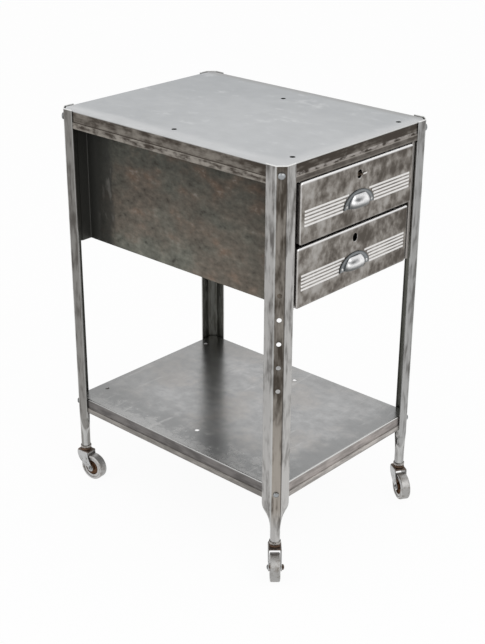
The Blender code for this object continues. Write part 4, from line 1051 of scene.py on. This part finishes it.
for index, level in enumerate(DRAWERS):
    name = level + "_drawer_front"
    low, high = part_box(name)
    height = high.z - low.z
    seat = Matrix.Translation((0, high.y - FRONT_RETURN, low.z))
    front = new_piece("ribbed_front_" + level, lambda bm: build_front(bm, height), seat)
    shape(front, lambda bm: build_front_cuts(bm, height), "DIFFERENCE")
    finish = front_finish(level, height, 17 * index)
    stand_for(front, FRONT_EDGE, name, level + "_drawer", finish)

# Cup pulls: barrel-shaped cups drawn up from a half-round rim, open below for the fingers and riveted through
# the front. They were plated: the cup is still bright with grey smudges, and the flat rim is blue-grey. A
# painted dark reflection lies high on the cup, with painted shade at its lip and ends, and painted shadow and
# highlight lines on the rim.
PULL_DEPTH = 12.6 * MM
PULL_SHEET = 1.2 * MM
PULL_FIT = 0.3 * MM
PULL_ROUND = 0.3 * MM
CUP_HALF_WIDTH = 31.0 * MM
CUP_HEIGHT = 25.3 * MM
CUP_COLUMNS = 44
CUP_ROWS = 22
CUP_TAPER = 0.45
CUP_TAPER_POWER = 2.4
CUP_ROOT_POWER = 2.2
CUP_END_POWER = 2.6
CUP_FULLNESS = 0.55
CUP_LIP_TUCK = 0.14
PULL_BRIGHT = (0.90, 0.895, 0.895)
PULL_GREY = (0.42, 0.43, 0.435)
PULL_SHADE = (0.090, 0.093, 0.092)
PULL_BLUE = (0.215, 0.235, 0.248)
PULL_DARK = (0.055, 0.060, 0.063)


def cup_grid(bm, inset, lift):
    """Barrel-shaped cup from its lower lip up to its root on the rim, in rows from right to left."""
    grid = []
    for row in range(CUP_ROWS + 1):
        rise = math.sin(math.pi / 2 * row / CUP_ROWS)
        level = (CUP_HEIGHT - inset) * rise
        half = CUP_HALF_WIDTH * (1 - CUP_TAPER * (level / CUP_HEIGHT) ** CUP_TAPER_POWER) - inset
        root = max(1 - rise ** CUP_ROOT_POWER, 0) ** CUP_FULLNESS
        root *= 1 - CUP_LIP_TUCK * max(1 - 3 * rise, 0) ** 2
        line = []
        for column in range(CUP_COLUMNS + 1):
            share = math.sin(math.pi / 2 * (1 - 2 * column / CUP_COLUMNS))
            end = max(1 - abs(share) ** CUP_END_POWER, 0) ** CUP_FULLNESS
            out = lift + (PULL_DEPTH - PULL_SHEET) * root * end
            line.append(bm.verts.new((half * share, -PULL_FIT - out, level)))
        grid.append(line)
    return grid


def build_pull(bm):
    """Rim and cup of one sheet, with the lower edge at z = 0 and the drawer's face at y = 0."""
    rims = []
    lips = []
    for inset, lift in ((0, PULL_SHEET), (PULL_SHEET, 0)):
        grid = cup_grid(bm, inset, lift)
        for row, following in zip(grid, grid[1:]):
            ribbon(bm, row, following, closed=False)
        root = [row[0] for row in grid] + grid[-1][1:-1] + [row[-1] for row in grid[::-1]]
        rim = []
        for point in root:
            angle = math.atan2(point.co.z / PULL_HEIGHT, point.co.x / PULL_HALF)
            place = (PULL_HALF * math.cos(angle), -PULL_FIT - lift, PULL_HEIGHT * math.sin(angle))
            rim.append(bm.verts.new(place))
        ribbon(bm, rim, root, closed=False)
        rims.append(rim)
        lips.append([rim[0]] + grid[0] + [rim[-1]])
    ribbon(bm, *rims, closed=False)
    ribbon(bm, *lips, closed=False)


def pull_finish(level, shift):
    """Bright cup, a painted dark reflection high on its left, painted shade at lip and ends; blue-grey rim,
    dark edges.
    """
    made, place = new_finish("worn_plate_pull_" + level)
    x, y, z = axes(place)
    cup = ease(y, -1.9 * MM, -4.2 * MM)
    joint = near(y, -2.2 * MM, 1.3 * MM, 0.3 * MM)
    across = x * (1 / PULL_HALF)
    rise = z * (1 / PULL_HEIGHT)
    from_middle = (across * across + rise * rise).root()
    # Painted shadow lines at the rim's outer edge and its joint, and a painted highlight line on the rim.
    outline = ease(from_middle, 0.93, 0.99)
    rolled = near(from_middle, 0.88, 0.06, 0.015)
    smudge = cloud(place, 11 * MM, detail=5, shift=shift)
    speck = cloud(place, 2.4 * MM, shift=shift + 4)
    # Painted dark reflection high on the cup's left; below, painted shade at the lip and ends and a painted
    # grey top.
    reflection_x = (x + 13 * MM) * (1 / (16 * MM))
    reflection_z = (z - 17 * MM - x * 0.05) * (1 / (4.5 * MM))
    dark_reflection = ease((reflection_x * reflection_x + reflection_z * reflection_z).root() + (smudge - 0.5) * 2.0, 1.5, 0.1)
    shaded = ease(z + (smudge - 0.5) * (6 * MM), 12 * MM, 3 * MM)
    end = ease(abs(x), CUP_HALF_WIDTH - 7 * MM, CUP_HALF_WIDTH - 1 * MM)
    barrel = mix(ease(smudge * 0.7 + speck * 0.3, 0.46, 0.66) * 0.6, PULL_BRIGHT, PULL_GREY)
    barrel = coats(barrel, (ease(z, 15 * MM, 23 * MM) * 0.3, PULL_GREY), (shaded * 0.92, PULL_SHADE),
                   (dark_reflection * 0.85, PULL_DARK), (end * 0.6, PULL_SHADE))
    rim = mix(ease(smudge * 0.5 + speck * 0.5, 0.44, 0.64) * 0.5, PULL_BLUE, PULL_GREY)
    colour = coats(rim, (rolled * 0.7, PULL_GREY), (outline * 0.7, PULL_DARK), (cup, barrel),
                   (joint * 0.6, PULL_DARK))
    roughness = 0.34 - cup * 0.10 + dark_reflection * 0.1
    return close_finish(made, place, colour, roughness, smudge, 0.2 * MM)


for index, level in enumerate(DRAWERS):
    name = level + "_pull"
    low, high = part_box(name)
    seat = Matrix.Translation((0, high.y + PULL_FIT, low.z))
    pull = new_piece("cup_pull_" + level, build_pull, seat)
    shape(pull, lambda bm: cut_rivet_holes(bm, 0, PULL_FIT, -3 * PULL_SHEET), "DIFFERENCE")
    stand_for(pull, PULL_ROUND, name, level + "_drawer", pull_finish(level, 7 * index))

# Pull rivets: round-head steel rivets, one in each foot of a pull, hammered over inside the drawer box.
# Their heads are worn bright.
RIVET_RADIUS = 1.8 * MM
RIVET_HEAD = 3.2 * MM
RIVET_HEAD_HEIGHT = 1.8 * MM
RIVET_TAIL_TAPER = 0.7
RIVET_EDGE = 0.1 * MM
RIVET_BRIGHT = (0.60, 0.60, 0.595)
rivet_finish = fastener_finish("pitted_rivet", RIVET_BRIGHT, HEAD_DULL, 0.32)


def build_rivet(bm, front, back):
    """Round head in front, shank through the sheets, and a spread tail behind."""
    grip_start = front + RIVET_HEAD_HEIGHT
    grip_end = back - RIVET_HEAD_HEIGHT
    profile = dome(RIVET_HEAD, grip_start, -RIVET_HEAD_HEIGHT)
    profile += [(RIVET_RADIUS, grip_start), (RIVET_RADIUS, grip_end)]
    profile += [(RIVET_HEAD, grip_end), (RIVET_TAIL_TAPER * RIVET_HEAD, back)]
    turned(bm, profile, sides=28, upright=False)


for level in DRAWERS:
    for side in ("left", "right"):
        name = level + "_pull_rivet_" + side
        low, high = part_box(name)
        middle = (low + high) / 2
        seat = Matrix.Translation((middle.x, 0, middle.z))
        rivet = new_piece("round_" + name, lambda bm: build_rivet(bm, low.y, high.y), seat)
        stand_for(rivet, RIVET_EDGE, name, level + "_drawer", rivet_finish)

# Lock tongue: a bent spring strip left from the upper drawer's lock. Its foot lies behind the front and its
# tip curls out of the lock hole. It is brown where it sits in the hole and bare bright steel at the tip.
TONGUE_BRIGHT = (0.70, 0.68, 0.66)
TONGUE_BROWN = (0.11, 0.085, 0.065)


def tongue_finish():
    made, place = new_finish("bent_tongue")
    tip = ease(axes(place)[0], 6.5 * MM, 9.0 * MM)
    worn = cloud(place, 4 * MM, detail=4)
    colour = lit(mix(tip, TONGUE_BROWN, TONGUE_BRIGHT), 0.75 + worn * 0.5)
    return close_finish(made, place, colour, 0.45 - tip * 0.15, worn, 0.05 * MM)


paint(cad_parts["upper_lock_tongue"], tongue_finish())

# Caster sockets: turned steel sleeves driven into the rolled feet, with a beaded collar that shows below.
# The upper bead is rubbed pale, and rust sits in the waist and on the lower bead.
SOCKET_SLEEVE = 8.05 * MM
SOCKET_BORE = 6.1 * MM
COLLAR_RADIUS = 12.3 * MM
COLLAR_WAIST = 11.5 * MM
COLLAR_HEIGHT = 11.4 * MM
COLLAR_EDGE = 0.2 * MM
BEAD_STEPS = 8
COLLAR_RUST = (0.120, 0.075, 0.050)
COLLAR_DARK = (0.045, 0.034, 0.026)
COLLAR_PALE = (0.42, 0.41, 0.39)


def build_socket(bm, low, high):
    """Sleeve above, and two beads with a waist between them below."""
    top = low + COLLAR_HEIGHT
    bead = COLLAR_HEIGHT / 4
    swell = COLLAR_RADIUS - COLLAR_WAIST
    profile = [(SOCKET_SLEEVE, high), (SOCKET_SLEEVE, top)]
    for step in range(BEAD_STEPS + 1):
        angle = math.pi * step / BEAD_STEPS
        profile.append((COLLAR_WAIST + swell * math.sin(angle), top - bead * (1 - math.cos(angle))))
    profile.append((COLLAR_WAIST, low + bead))
    for cosine, sine in quarter(4)[1:]:
        profile.append((COLLAR_WAIST + swell * sine, low + bead * cosine))
    profile += [(SOCKET_BORE, low), (SOCKET_BORE, high)]
    turned(bm, profile, sides=48, closed=True)


def collar_finish(low):
    """Pale worn upper bead over a rusty waist and lower bead."""
    made, place = new_finish("rusty_collar")
    upper = ease(axes(place)[2], low + 0.45 * COLLAR_HEIGHT, low + 0.62 * COLLAR_HEIGHT)
    rust = cloud(place, 7 * MM, detail=5)
    speck = cloud(place, 2 * MM, detail=4, shift=3)
    tone = rust * 0.6 + speck * 0.4
    colour = mix(ease(tone, 0.42, 0.64), COLLAR_RUST, COLLAR_DARK)
    colour = mix(upper * ease(tone, 0.64, 0.46) * 0.85, colour, COLLAR_PALE)
    return close_finish(made, place, colour, 0.58 - upper * 0.18, rust + speck, 0.12 * MM, 0.9)


collar_rust = collar_finish(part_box("caster_socket_front_left")[0].z)
stems = {}
for corner in CORNERS:
    name = "caster_socket_" + corner
    low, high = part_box(name)
    middle = (low + high) / 2
    stems[corner] = Matrix.Translation((middle.x, middle.y, 0))
    socket = new_piece("beaded_" + name, lambda bm: build_socket(bm, low.z, high.z), stems[corner])
    stand_for(socket, COLLAR_EDGE, name, "frame", collar_rust)

# Caster forks: a thick steel strip bent to a crown and two blades that lean back to the axle, with the stem
# riveted in the crown. Pale satin blades; rust and soot on top of the crown and inside the fork.
WHEEL_RADIUS = 30.15 * MM
FORK_SHEET = 2.2 * MM
FORK_CROWN = 4.0 * MM
FORK_BEND = 2.8 * MM
FORK_HALF = 14.1 * MM
FORK_CROWN_HALF = 15.0 * MM
FORK_EYE = 8.5 * MM
FORK_EYE_BORE = 3.6 * MM
FORK_TIP_HALF = 1.2 * MM
FORK_EDGE = 0.5 * MM
EYE_STEPS = 7
BLADE_STEPS = 16
BLADE_SWEEP = 2.4
BLADE_TAPER = 4
CASTER_TRAIL = 22.5 * MM
CROWN_TOP_Z = 69.1 * MM
STEM_RADIUS = 5.6 * MM
STEM_LENGTH = 38.0 * MM
SWIVEL_REST = {"front_left": -137.0, "front_right": -122.0, "rear_left": -84.0, "rear_right": 43.0}
FORK_SATIN = (0.50, 0.505, 0.505)
FORK_DULL = (0.23, 0.22, 0.205)


def build_fork(bm):
    """Bent strip in the swivel's frame: +X along the trail and +Y along the axle."""
    outer_bend = FORK_BEND + FORK_SHEET
    bend_z = CROWN_TOP_Z - outer_bend
    bend_y = FORK_HALF - outer_bend
    stations = []
    for step in range(EYE_STEPS):
        angle = math.pi / 2 * (1 - step / EYE_STEPS)
        half = max(FORK_EYE * math.cos(angle), FORK_TIP_HALF)
        stations.append((WHEEL_RADIUS - FORK_EYE * math.sin(angle), CASTER_TRAIL, half))
    for step in range(BLADE_STEPS + 1):
        share = 1 - step / BLADE_STEPS
        half = FORK_CROWN_HALF + (FORK_EYE - FORK_CROWN_HALF) * share ** BLADE_TAPER
        stations.append((bend_z + (WHEEL_RADIUS - bend_z) * share, CASTER_TRAIL * share ** BLADE_SWEEP, half))
    path = []
    for z, middle, half in stations:
        path.append((FORK_HALF, z, FORK_HALF - FORK_SHEET, z, middle - half, middle + half))
    for cosine, sine in quarter(7)[1:]:
        path.append((bend_y + outer_bend * cosine, bend_z + outer_bend * sine,
                     bend_y + FORK_BEND * cosine, bend_z + (outer_bend - FORK_CROWN) * sine,
                     -FORK_CROWN_HALF, FORK_CROWN_HALF))
    loops = []
    for side, stretch in ((1, path), (-1, path[::-1])):
        for outer_y, outer_z, inner_y, inner_z, back, front in stretch:
            loops.append([(back, side * outer_y, outer_z), (front, side * outer_y, outer_z),
                          (front, side * inner_y, inner_z), (back, side * inner_y, inner_z)])
    skin(bm, loops)


def build_stem(bm):
    bar(bm, (0, 0, CROWN_TOP_Z - FORK_CROWN / 2), (0, 0, CROWN_TOP_Z + STEM_LENGTH), STEM_RADIUS, sides=40)


def build_fork_eyes(bm):
    reach = 2 * FORK_HALF
    bar(bm, (CASTER_TRAIL, -reach, WHEEL_RADIUS), (CASTER_TRAIL, reach, WHEEL_RADIUS), FORK_EYE_BORE)


def fork_finish(corner, shift):
    """Pale blades with grey wear; brown and black on the crown's top and inside."""
    made, place = new_finish("satin_fork_" + corner)
    y, z = axes(place)[1:]
    within = ease(abs(y), FORK_HALF - 0.5 * MM, FORK_HALF - 1.6 * MM)
    crown = ease(z, CROWN_TOP_Z - 7 * MM, CROWN_TOP_Z - 2 * MM) * within
    worn = cloud(place, 12 * MM, detail=5, shift=shift, grain=0.6)
    speck = cloud(place, 2.6 * MM, shift=shift + 3)
    dirt = ease(worn * 0.6 + speck * 0.4, 0.48, 0.66)
    rust = mix(ease(worn * 0.5 + speck * 0.5, 0.42, 0.62), COLLAR_RUST, COLLAR_DARK)
    colour = coats(FORK_SATIN, (dirt, FORK_DULL), (within * 0.6, FORK_DULL), (crown * 0.85, rust))
    roughness = 0.36 + dirt * 0.14 + crown * 0.1
    return close_finish(made, place, colour, roughness, worn + speck * 0.4, 0.12 * MM)


fork = new_piece("fork", build_fork)
shape(fork, build_stem, "UNION")
shape(fork, build_fork_eyes, "DIFFERENCE")
rest_turns = {}
for index, corner in enumerate(CORNERS):
    rest_turns[corner] = Matrix.Rotation(math.radians(SWIVEL_REST[corner]), 4, "Z")
    bent_fork = put("bent_fork_" + corner, fork.data.copy(), stems[corner] @ rest_turns[corner])
    finish = fork_finish(corner, 5 * index)
    stand_for(bent_fork, FORK_EDGE, "caster_fork_" + corner, "caster_" + corner, finish)
bpy.data.objects.remove(fork)

# Wheels: turned from solid steel, with a flat tread, a stepped rim, a thin web and a hub on the axle.
# Tread and rim are rolled to a satin grey, smeared on the tread; the sunken web is brown with rust.
WHEEL_HALF = 10.3 * MM
WHEEL_SHOULDER = 2.8 * MM
WHEEL_RIM_DEPTH = 12.0 * MM
WHEEL_RIM_STEP = 1.2 * MM
WHEEL_RIM_SLOPE = 0.5 * MM
WHEEL_LEDGE_SLOPE = 0.4 * MM
WHEEL_WEB_HALF = 4.5 * MM
WEB_FILLET = 0.8 * MM
WEB_FILLET_TOP = 1.6 * MM
WEB_FILLET_FOOT = 2.9 * MM
WHEEL_EDGE = 0.2 * MM
HUB_RADIUS = 8.0 * MM
HUB_HALF = 11.1 * MM
HUB_BORE = 3.6 * MM
HUB_CHAMFER = 0.5 * MM
WHEEL_SATIN = (0.50, 0.495, 0.485)
WHEEL_TREAD = (0.38, 0.375, 0.365)
WHEEL_DULL = (0.20, 0.178, 0.155)
WHEEL_RUST = (0.17, 0.095, 0.055)
WHEEL_DARK = (0.040, 0.030, 0.024)


def build_wheel(bm):
    """Tread, stepped rim, web and hub, turned about the axle."""
    rim = WHEEL_RADIUS - WHEEL_RIM_DEPTH
    ledge = WHEEL_RADIUS - WHEEL_RIM_DEPTH / 2
    shoulder_radius = WHEEL_RADIUS - WHEEL_SHOULDER
    side = []
    for cosine, sine in quarter(5):
        side.append((shoulder_radius + WHEEL_SHOULDER * cosine, WHEEL_HALF - WHEEL_SHOULDER * (1 - sine)))
    side += [(ledge, WHEEL_HALF), (ledge - WHEEL_LEDGE_SLOPE, WHEEL_HALF - WHEEL_RIM_STEP)]
    side += [(rim, WHEEL_HALF - WHEEL_RIM_STEP), (rim - WHEEL_RIM_SLOPE, WHEEL_HALF - 2 * WHEEL_RIM_STEP)]
    side += [(rim - WEB_FILLET_TOP, WHEEL_WEB_HALF + WEB_FILLET), (rim - WEB_FILLET_FOOT, WHEEL_WEB_HALF)]
    side += [(HUB_RADIUS + WEB_FILLET, WHEEL_WEB_HALF), (HUB_RADIUS, WHEEL_WEB_HALF + WEB_FILLET)]
    side += [(HUB_RADIUS, HUB_HALF - HUB_CHAMFER), (HUB_RADIUS - HUB_CHAMFER, HUB_HALF), (HUB_BORE, HUB_HALF)]
    other_side = [(radius, -height) for radius, height in side[::-1]]
    turned(bm, side + other_side, sides=72, upright=False, closed=True)


def wheel_finish(corner, shift):
    """Satin rim and a smeared tread, with rust in the sunken web."""
    made, place = new_finish("rolled_wheel_" + corner)
    x, y, z = axes(place)
    turn = math.radians(SWIVEL_REST[corner])
    along = x * math.cos(turn) + y * math.sin(turn)
    radius = (along * along + z * z).root()
    rim = WHEEL_RADIUS - WHEEL_RIM_DEPTH
    tread = ease(radius, WHEEL_RADIUS - 1.4 * MM, WHEEL_RADIUS - 0.5 * MM)
    sunken = ease(radius, rim + 0.4 * MM, rim - 0.6 * MM)
    step = near(radius, WHEEL_RADIUS - WHEEL_RIM_DEPTH / 2, 1.0 * MM, 0.2 * MM)
    worn = cloud(place, 13 * MM, detail=5, shift=shift, grain=0.6)
    speck = cloud(place, 3 * MM, detail=4, shift=shift + 4)
    dirt = ease(worn * 0.6 + speck * 0.4, 0.47, 0.66)
    rust = mix(ease(speck * 0.5 + worn * 0.5, 0.46, 0.64), WHEEL_RUST, WHEEL_DARK)
    colour = coats(WHEEL_SATIN, (tread, WHEEL_TREAD), (dirt * 0.8, WHEEL_DULL), (step * 0.5, WHEEL_DARK),
                   (sunken, rust))
    roughness = 0.42 + sunken * 0.2 + dirt * 0.08
    return close_finish(made, place, colour, roughness, worn + speck * 0.5, 0.12 * MM)


wheel = new_piece("wheel", build_wheel)
axle_seat = Matrix.Translation((CASTER_TRAIL, 0, WHEEL_RADIUS))
axle_places = {}
for index, corner in enumerate(CORNERS):
    axle_places[corner] = stems[corner] @ rest_turns[corner] @ axle_seat
    mesh = wheel.data.copy()
    mesh.transform(rest_turns[corner])
    centre = Matrix.Translation(axle_places[corner].translation)
    turned_wheel = put("turned_wheel_" + corner, mesh, centre)
    finish = wheel_finish(corner, 9 * index)
    stand_for(turned_wheel, WHEEL_EDGE, "caster_wheel_" + corner, "wheel_" + corner, finish)
bpy.data.objects.remove(wheel)

# Axles: a low round-head bolt through each fork, with a hexagon nut peened on at the other blade.
# Heads are worn bright, nuts brown.
AXLE_RADIUS = 3.2 * MM
AXLE_HEAD = 5.2 * MM
AXLE_HEAD_HEIGHT = 2.8 * MM
AXLE_NUT = 6.4 * MM
AXLE_NUT_HEIGHT = 3.3 * MM
AXLE_NUT_CHAMFER = 0.9
AXLE_NUT_STRAIGHT = 0.8
AXLE_TIP = 1.1 * MM
AXLE_FIT = 0.3 * MM
AXLE_SIDES = 36
AXLE_EDGE = 0.15 * MM


def build_axle(bm):
    """Round head, shank and peened nut on the local Y axis."""
    seat = FORK_HALF + AXLE_FIT
    nut_end = seat + AXLE_NUT_HEIGHT
    sixth = math.pi / 6
    flat = AXLE_NUT * math.cos(sixth)
    shank = dome(AXLE_HEAD, -seat, -AXLE_HEAD_HEIGHT) + [(AXLE_RADIUS, -seat), (AXLE_RADIUS, seat)]
    nut = [(flat, seat), (flat, seat + AXLE_NUT_STRAIGHT * AXLE_NUT_HEIGHT),
           (AXLE_NUT_CHAMFER * flat, nut_end)]
    tip = [(AXLE_RADIUS, nut_end), (AXLE_RADIUS, nut_end + AXLE_TIP)]
    loops = []
    for profile, hexagon in ((shank, False), (nut, True), (tip, False)):
        for radius, along in profile:
            loop = []
            for i in range(AXLE_SIDES):
                angle = math.tau * i / AXLE_SIDES
                reach = radius / math.cos((angle + sixth) % (2 * sixth) - sixth) if hexagon else radius
                loop.append((reach * math.cos(angle), along, reach * math.sin(angle)))
            loops.append(loop)
    skin(bm, loops)


def axle_finish():
    made, place = new_finish("worn_axle")
    nut = ease(axes(place)[1], FORK_HALF - 2 * MM, FORK_HALF - 1 * MM)
    worn = cloud(place, 5 * MM, detail=5)
    speck = cloud(place, 1.6 * MM, shift=4)
    dirt = ease(worn * 0.6 + speck * 0.4, 0.44, 0.64)
    colour = mix(nut, mix(dirt, HEAD_BRIGHT, HEAD_DULL), mix(dirt, COLLAR_RUST, COLLAR_DARK))
    return close_finish(made, place, colour, 0.34 + nut * 0.2 + dirt * 0.1, worn + speck, 0.08 * MM)


axle_steel = axle_finish()
for corner in CORNERS:
    axle = new_piece("axle_bolt_" + corner, build_axle, axle_places[corner])
    stand_for(axle, AXLE_EDGE, "caster_axle_" + corner, "caster_" + corner, axle_steel)

# Studio: a plain pale floor that keeps the stand's shadow, an even white surround, and two large soft lamps.
# The camera stands at the left front, well above the top, as in the photograph.
FLOOR_HALF = 25.0
FLOOR_PALE = (0.95, 0.95, 0.95)
FLOOR_LIFT = 0.94
WHITE = (1, 1, 1)
SURROUND_LEVEL = 0.75
LAMP_AIM = Vector((0, 0, 0.5))
CAMERA_PLACE = Vector((-1.8821, -1.7132, 0.6804))
CAMERA_AZIMUTH = math.radians(-47.75)
CAMERA_ELEVATION = math.radians(24.27)
CAMERA_ROLL = math.radians(0.28)
CAMERA_LENS = 71.35
CAMERA_SENSOR = 36.0


def ray(start, kind):
    return start.node("LightPath", {}, {}, "Is " + kind + " Ray")


def build_floor(bm):
    corners = [(-1, -1), (1, -1), (1, 1), (-1, 1)]
    bm.faces.new([bm.verts.new((x * FLOOR_HALF, y * FLOOR_HALF, 0)) for x, y in corners])


def floor_finish():
    """Matt pale floor; to the camera and in reflections it is lifted to white, less its shadow."""
    made = bpy.data.materials.new("pale_floor")
    start = new_tree(made)
    seen = greater(ray(start, "Camera"), ray(start, "Glossy"))
    matt = start.node("BsdfDiffuse", {}, {"Color": FLOOR_PALE})
    glow = start.node("Emission", {}, {"Color": WHITE, "Strength": 1.0})
    surface = start.node("MixShader", {}, {0: seen * FLOOR_LIFT, 1: matt, 2: glow})
    start.node("OutputMaterial", {}, {"Surface": surface})
    return made


floor = new_piece("floor", build_floor)
paint(floor, floor_finish())

world = bpy.data.worlds.new("white_surround")
bpy.context.scene.world = world
sky = new_tree(world)
shown = greater(greater(ray(sky, "Camera"), ray(sky, "Glossy")), ray(sky, "Transmission"))
light_level = sky.node("Background", {}, {"Color": WHITE, "Strength": SURROUND_LEVEL})
white_level = sky.node("Background", {}, {"Color": WHITE, "Strength": 1.0})
both = sky.node("MixShader", {}, {0: shown, 1: light_level, 2: white_level})
sky.node("OutputWorld", {}, {"Surface": both})


def soft_lamp(name, place, size, power):
    lamp = bpy.data.lights.new(name, "AREA")
    lamp.size = size
    lamp.energy = power
    facing = (LAMP_AIM - Vector(place)).to_track_quat("-Z", "Y").to_matrix().to_4x4()
    put(name, lamp, Matrix.Translation(place) @ facing)


soft_lamp("front_lamp", (-0.6, -2.6, 2.4), size=2.6, power=26.0)
soft_lamp("side_lamp", (-2.8, 0.4, 2.2), size=2.2, power=14.0)

view = bpy.data.cameras.new("camera")
view.sensor_width = CAMERA_SENSOR
view.lens = CAMERA_LENS
across = math.cos(CAMERA_ELEVATION)
ahead = Vector((-math.sin(CAMERA_AZIMUTH) * across, math.cos(CAMERA_AZIMUTH) * across,
                -math.sin(CAMERA_ELEVATION)))
level_turn = ahead.to_track_quat("-Z", "Y").to_matrix().to_4x4()
camera_seat = Matrix.Translation(CAMERA_PLACE + Vector((0, MIDDLE_Y, TOP_Z)))
camera = put("camera", view, camera_seat @ level_turn @ Matrix.Rotation(CAMERA_ROLL, 4, "Z"))
bpy.context.scene.camera = camera
bpy.context.scene.view_settings.view_transform = "Standard"
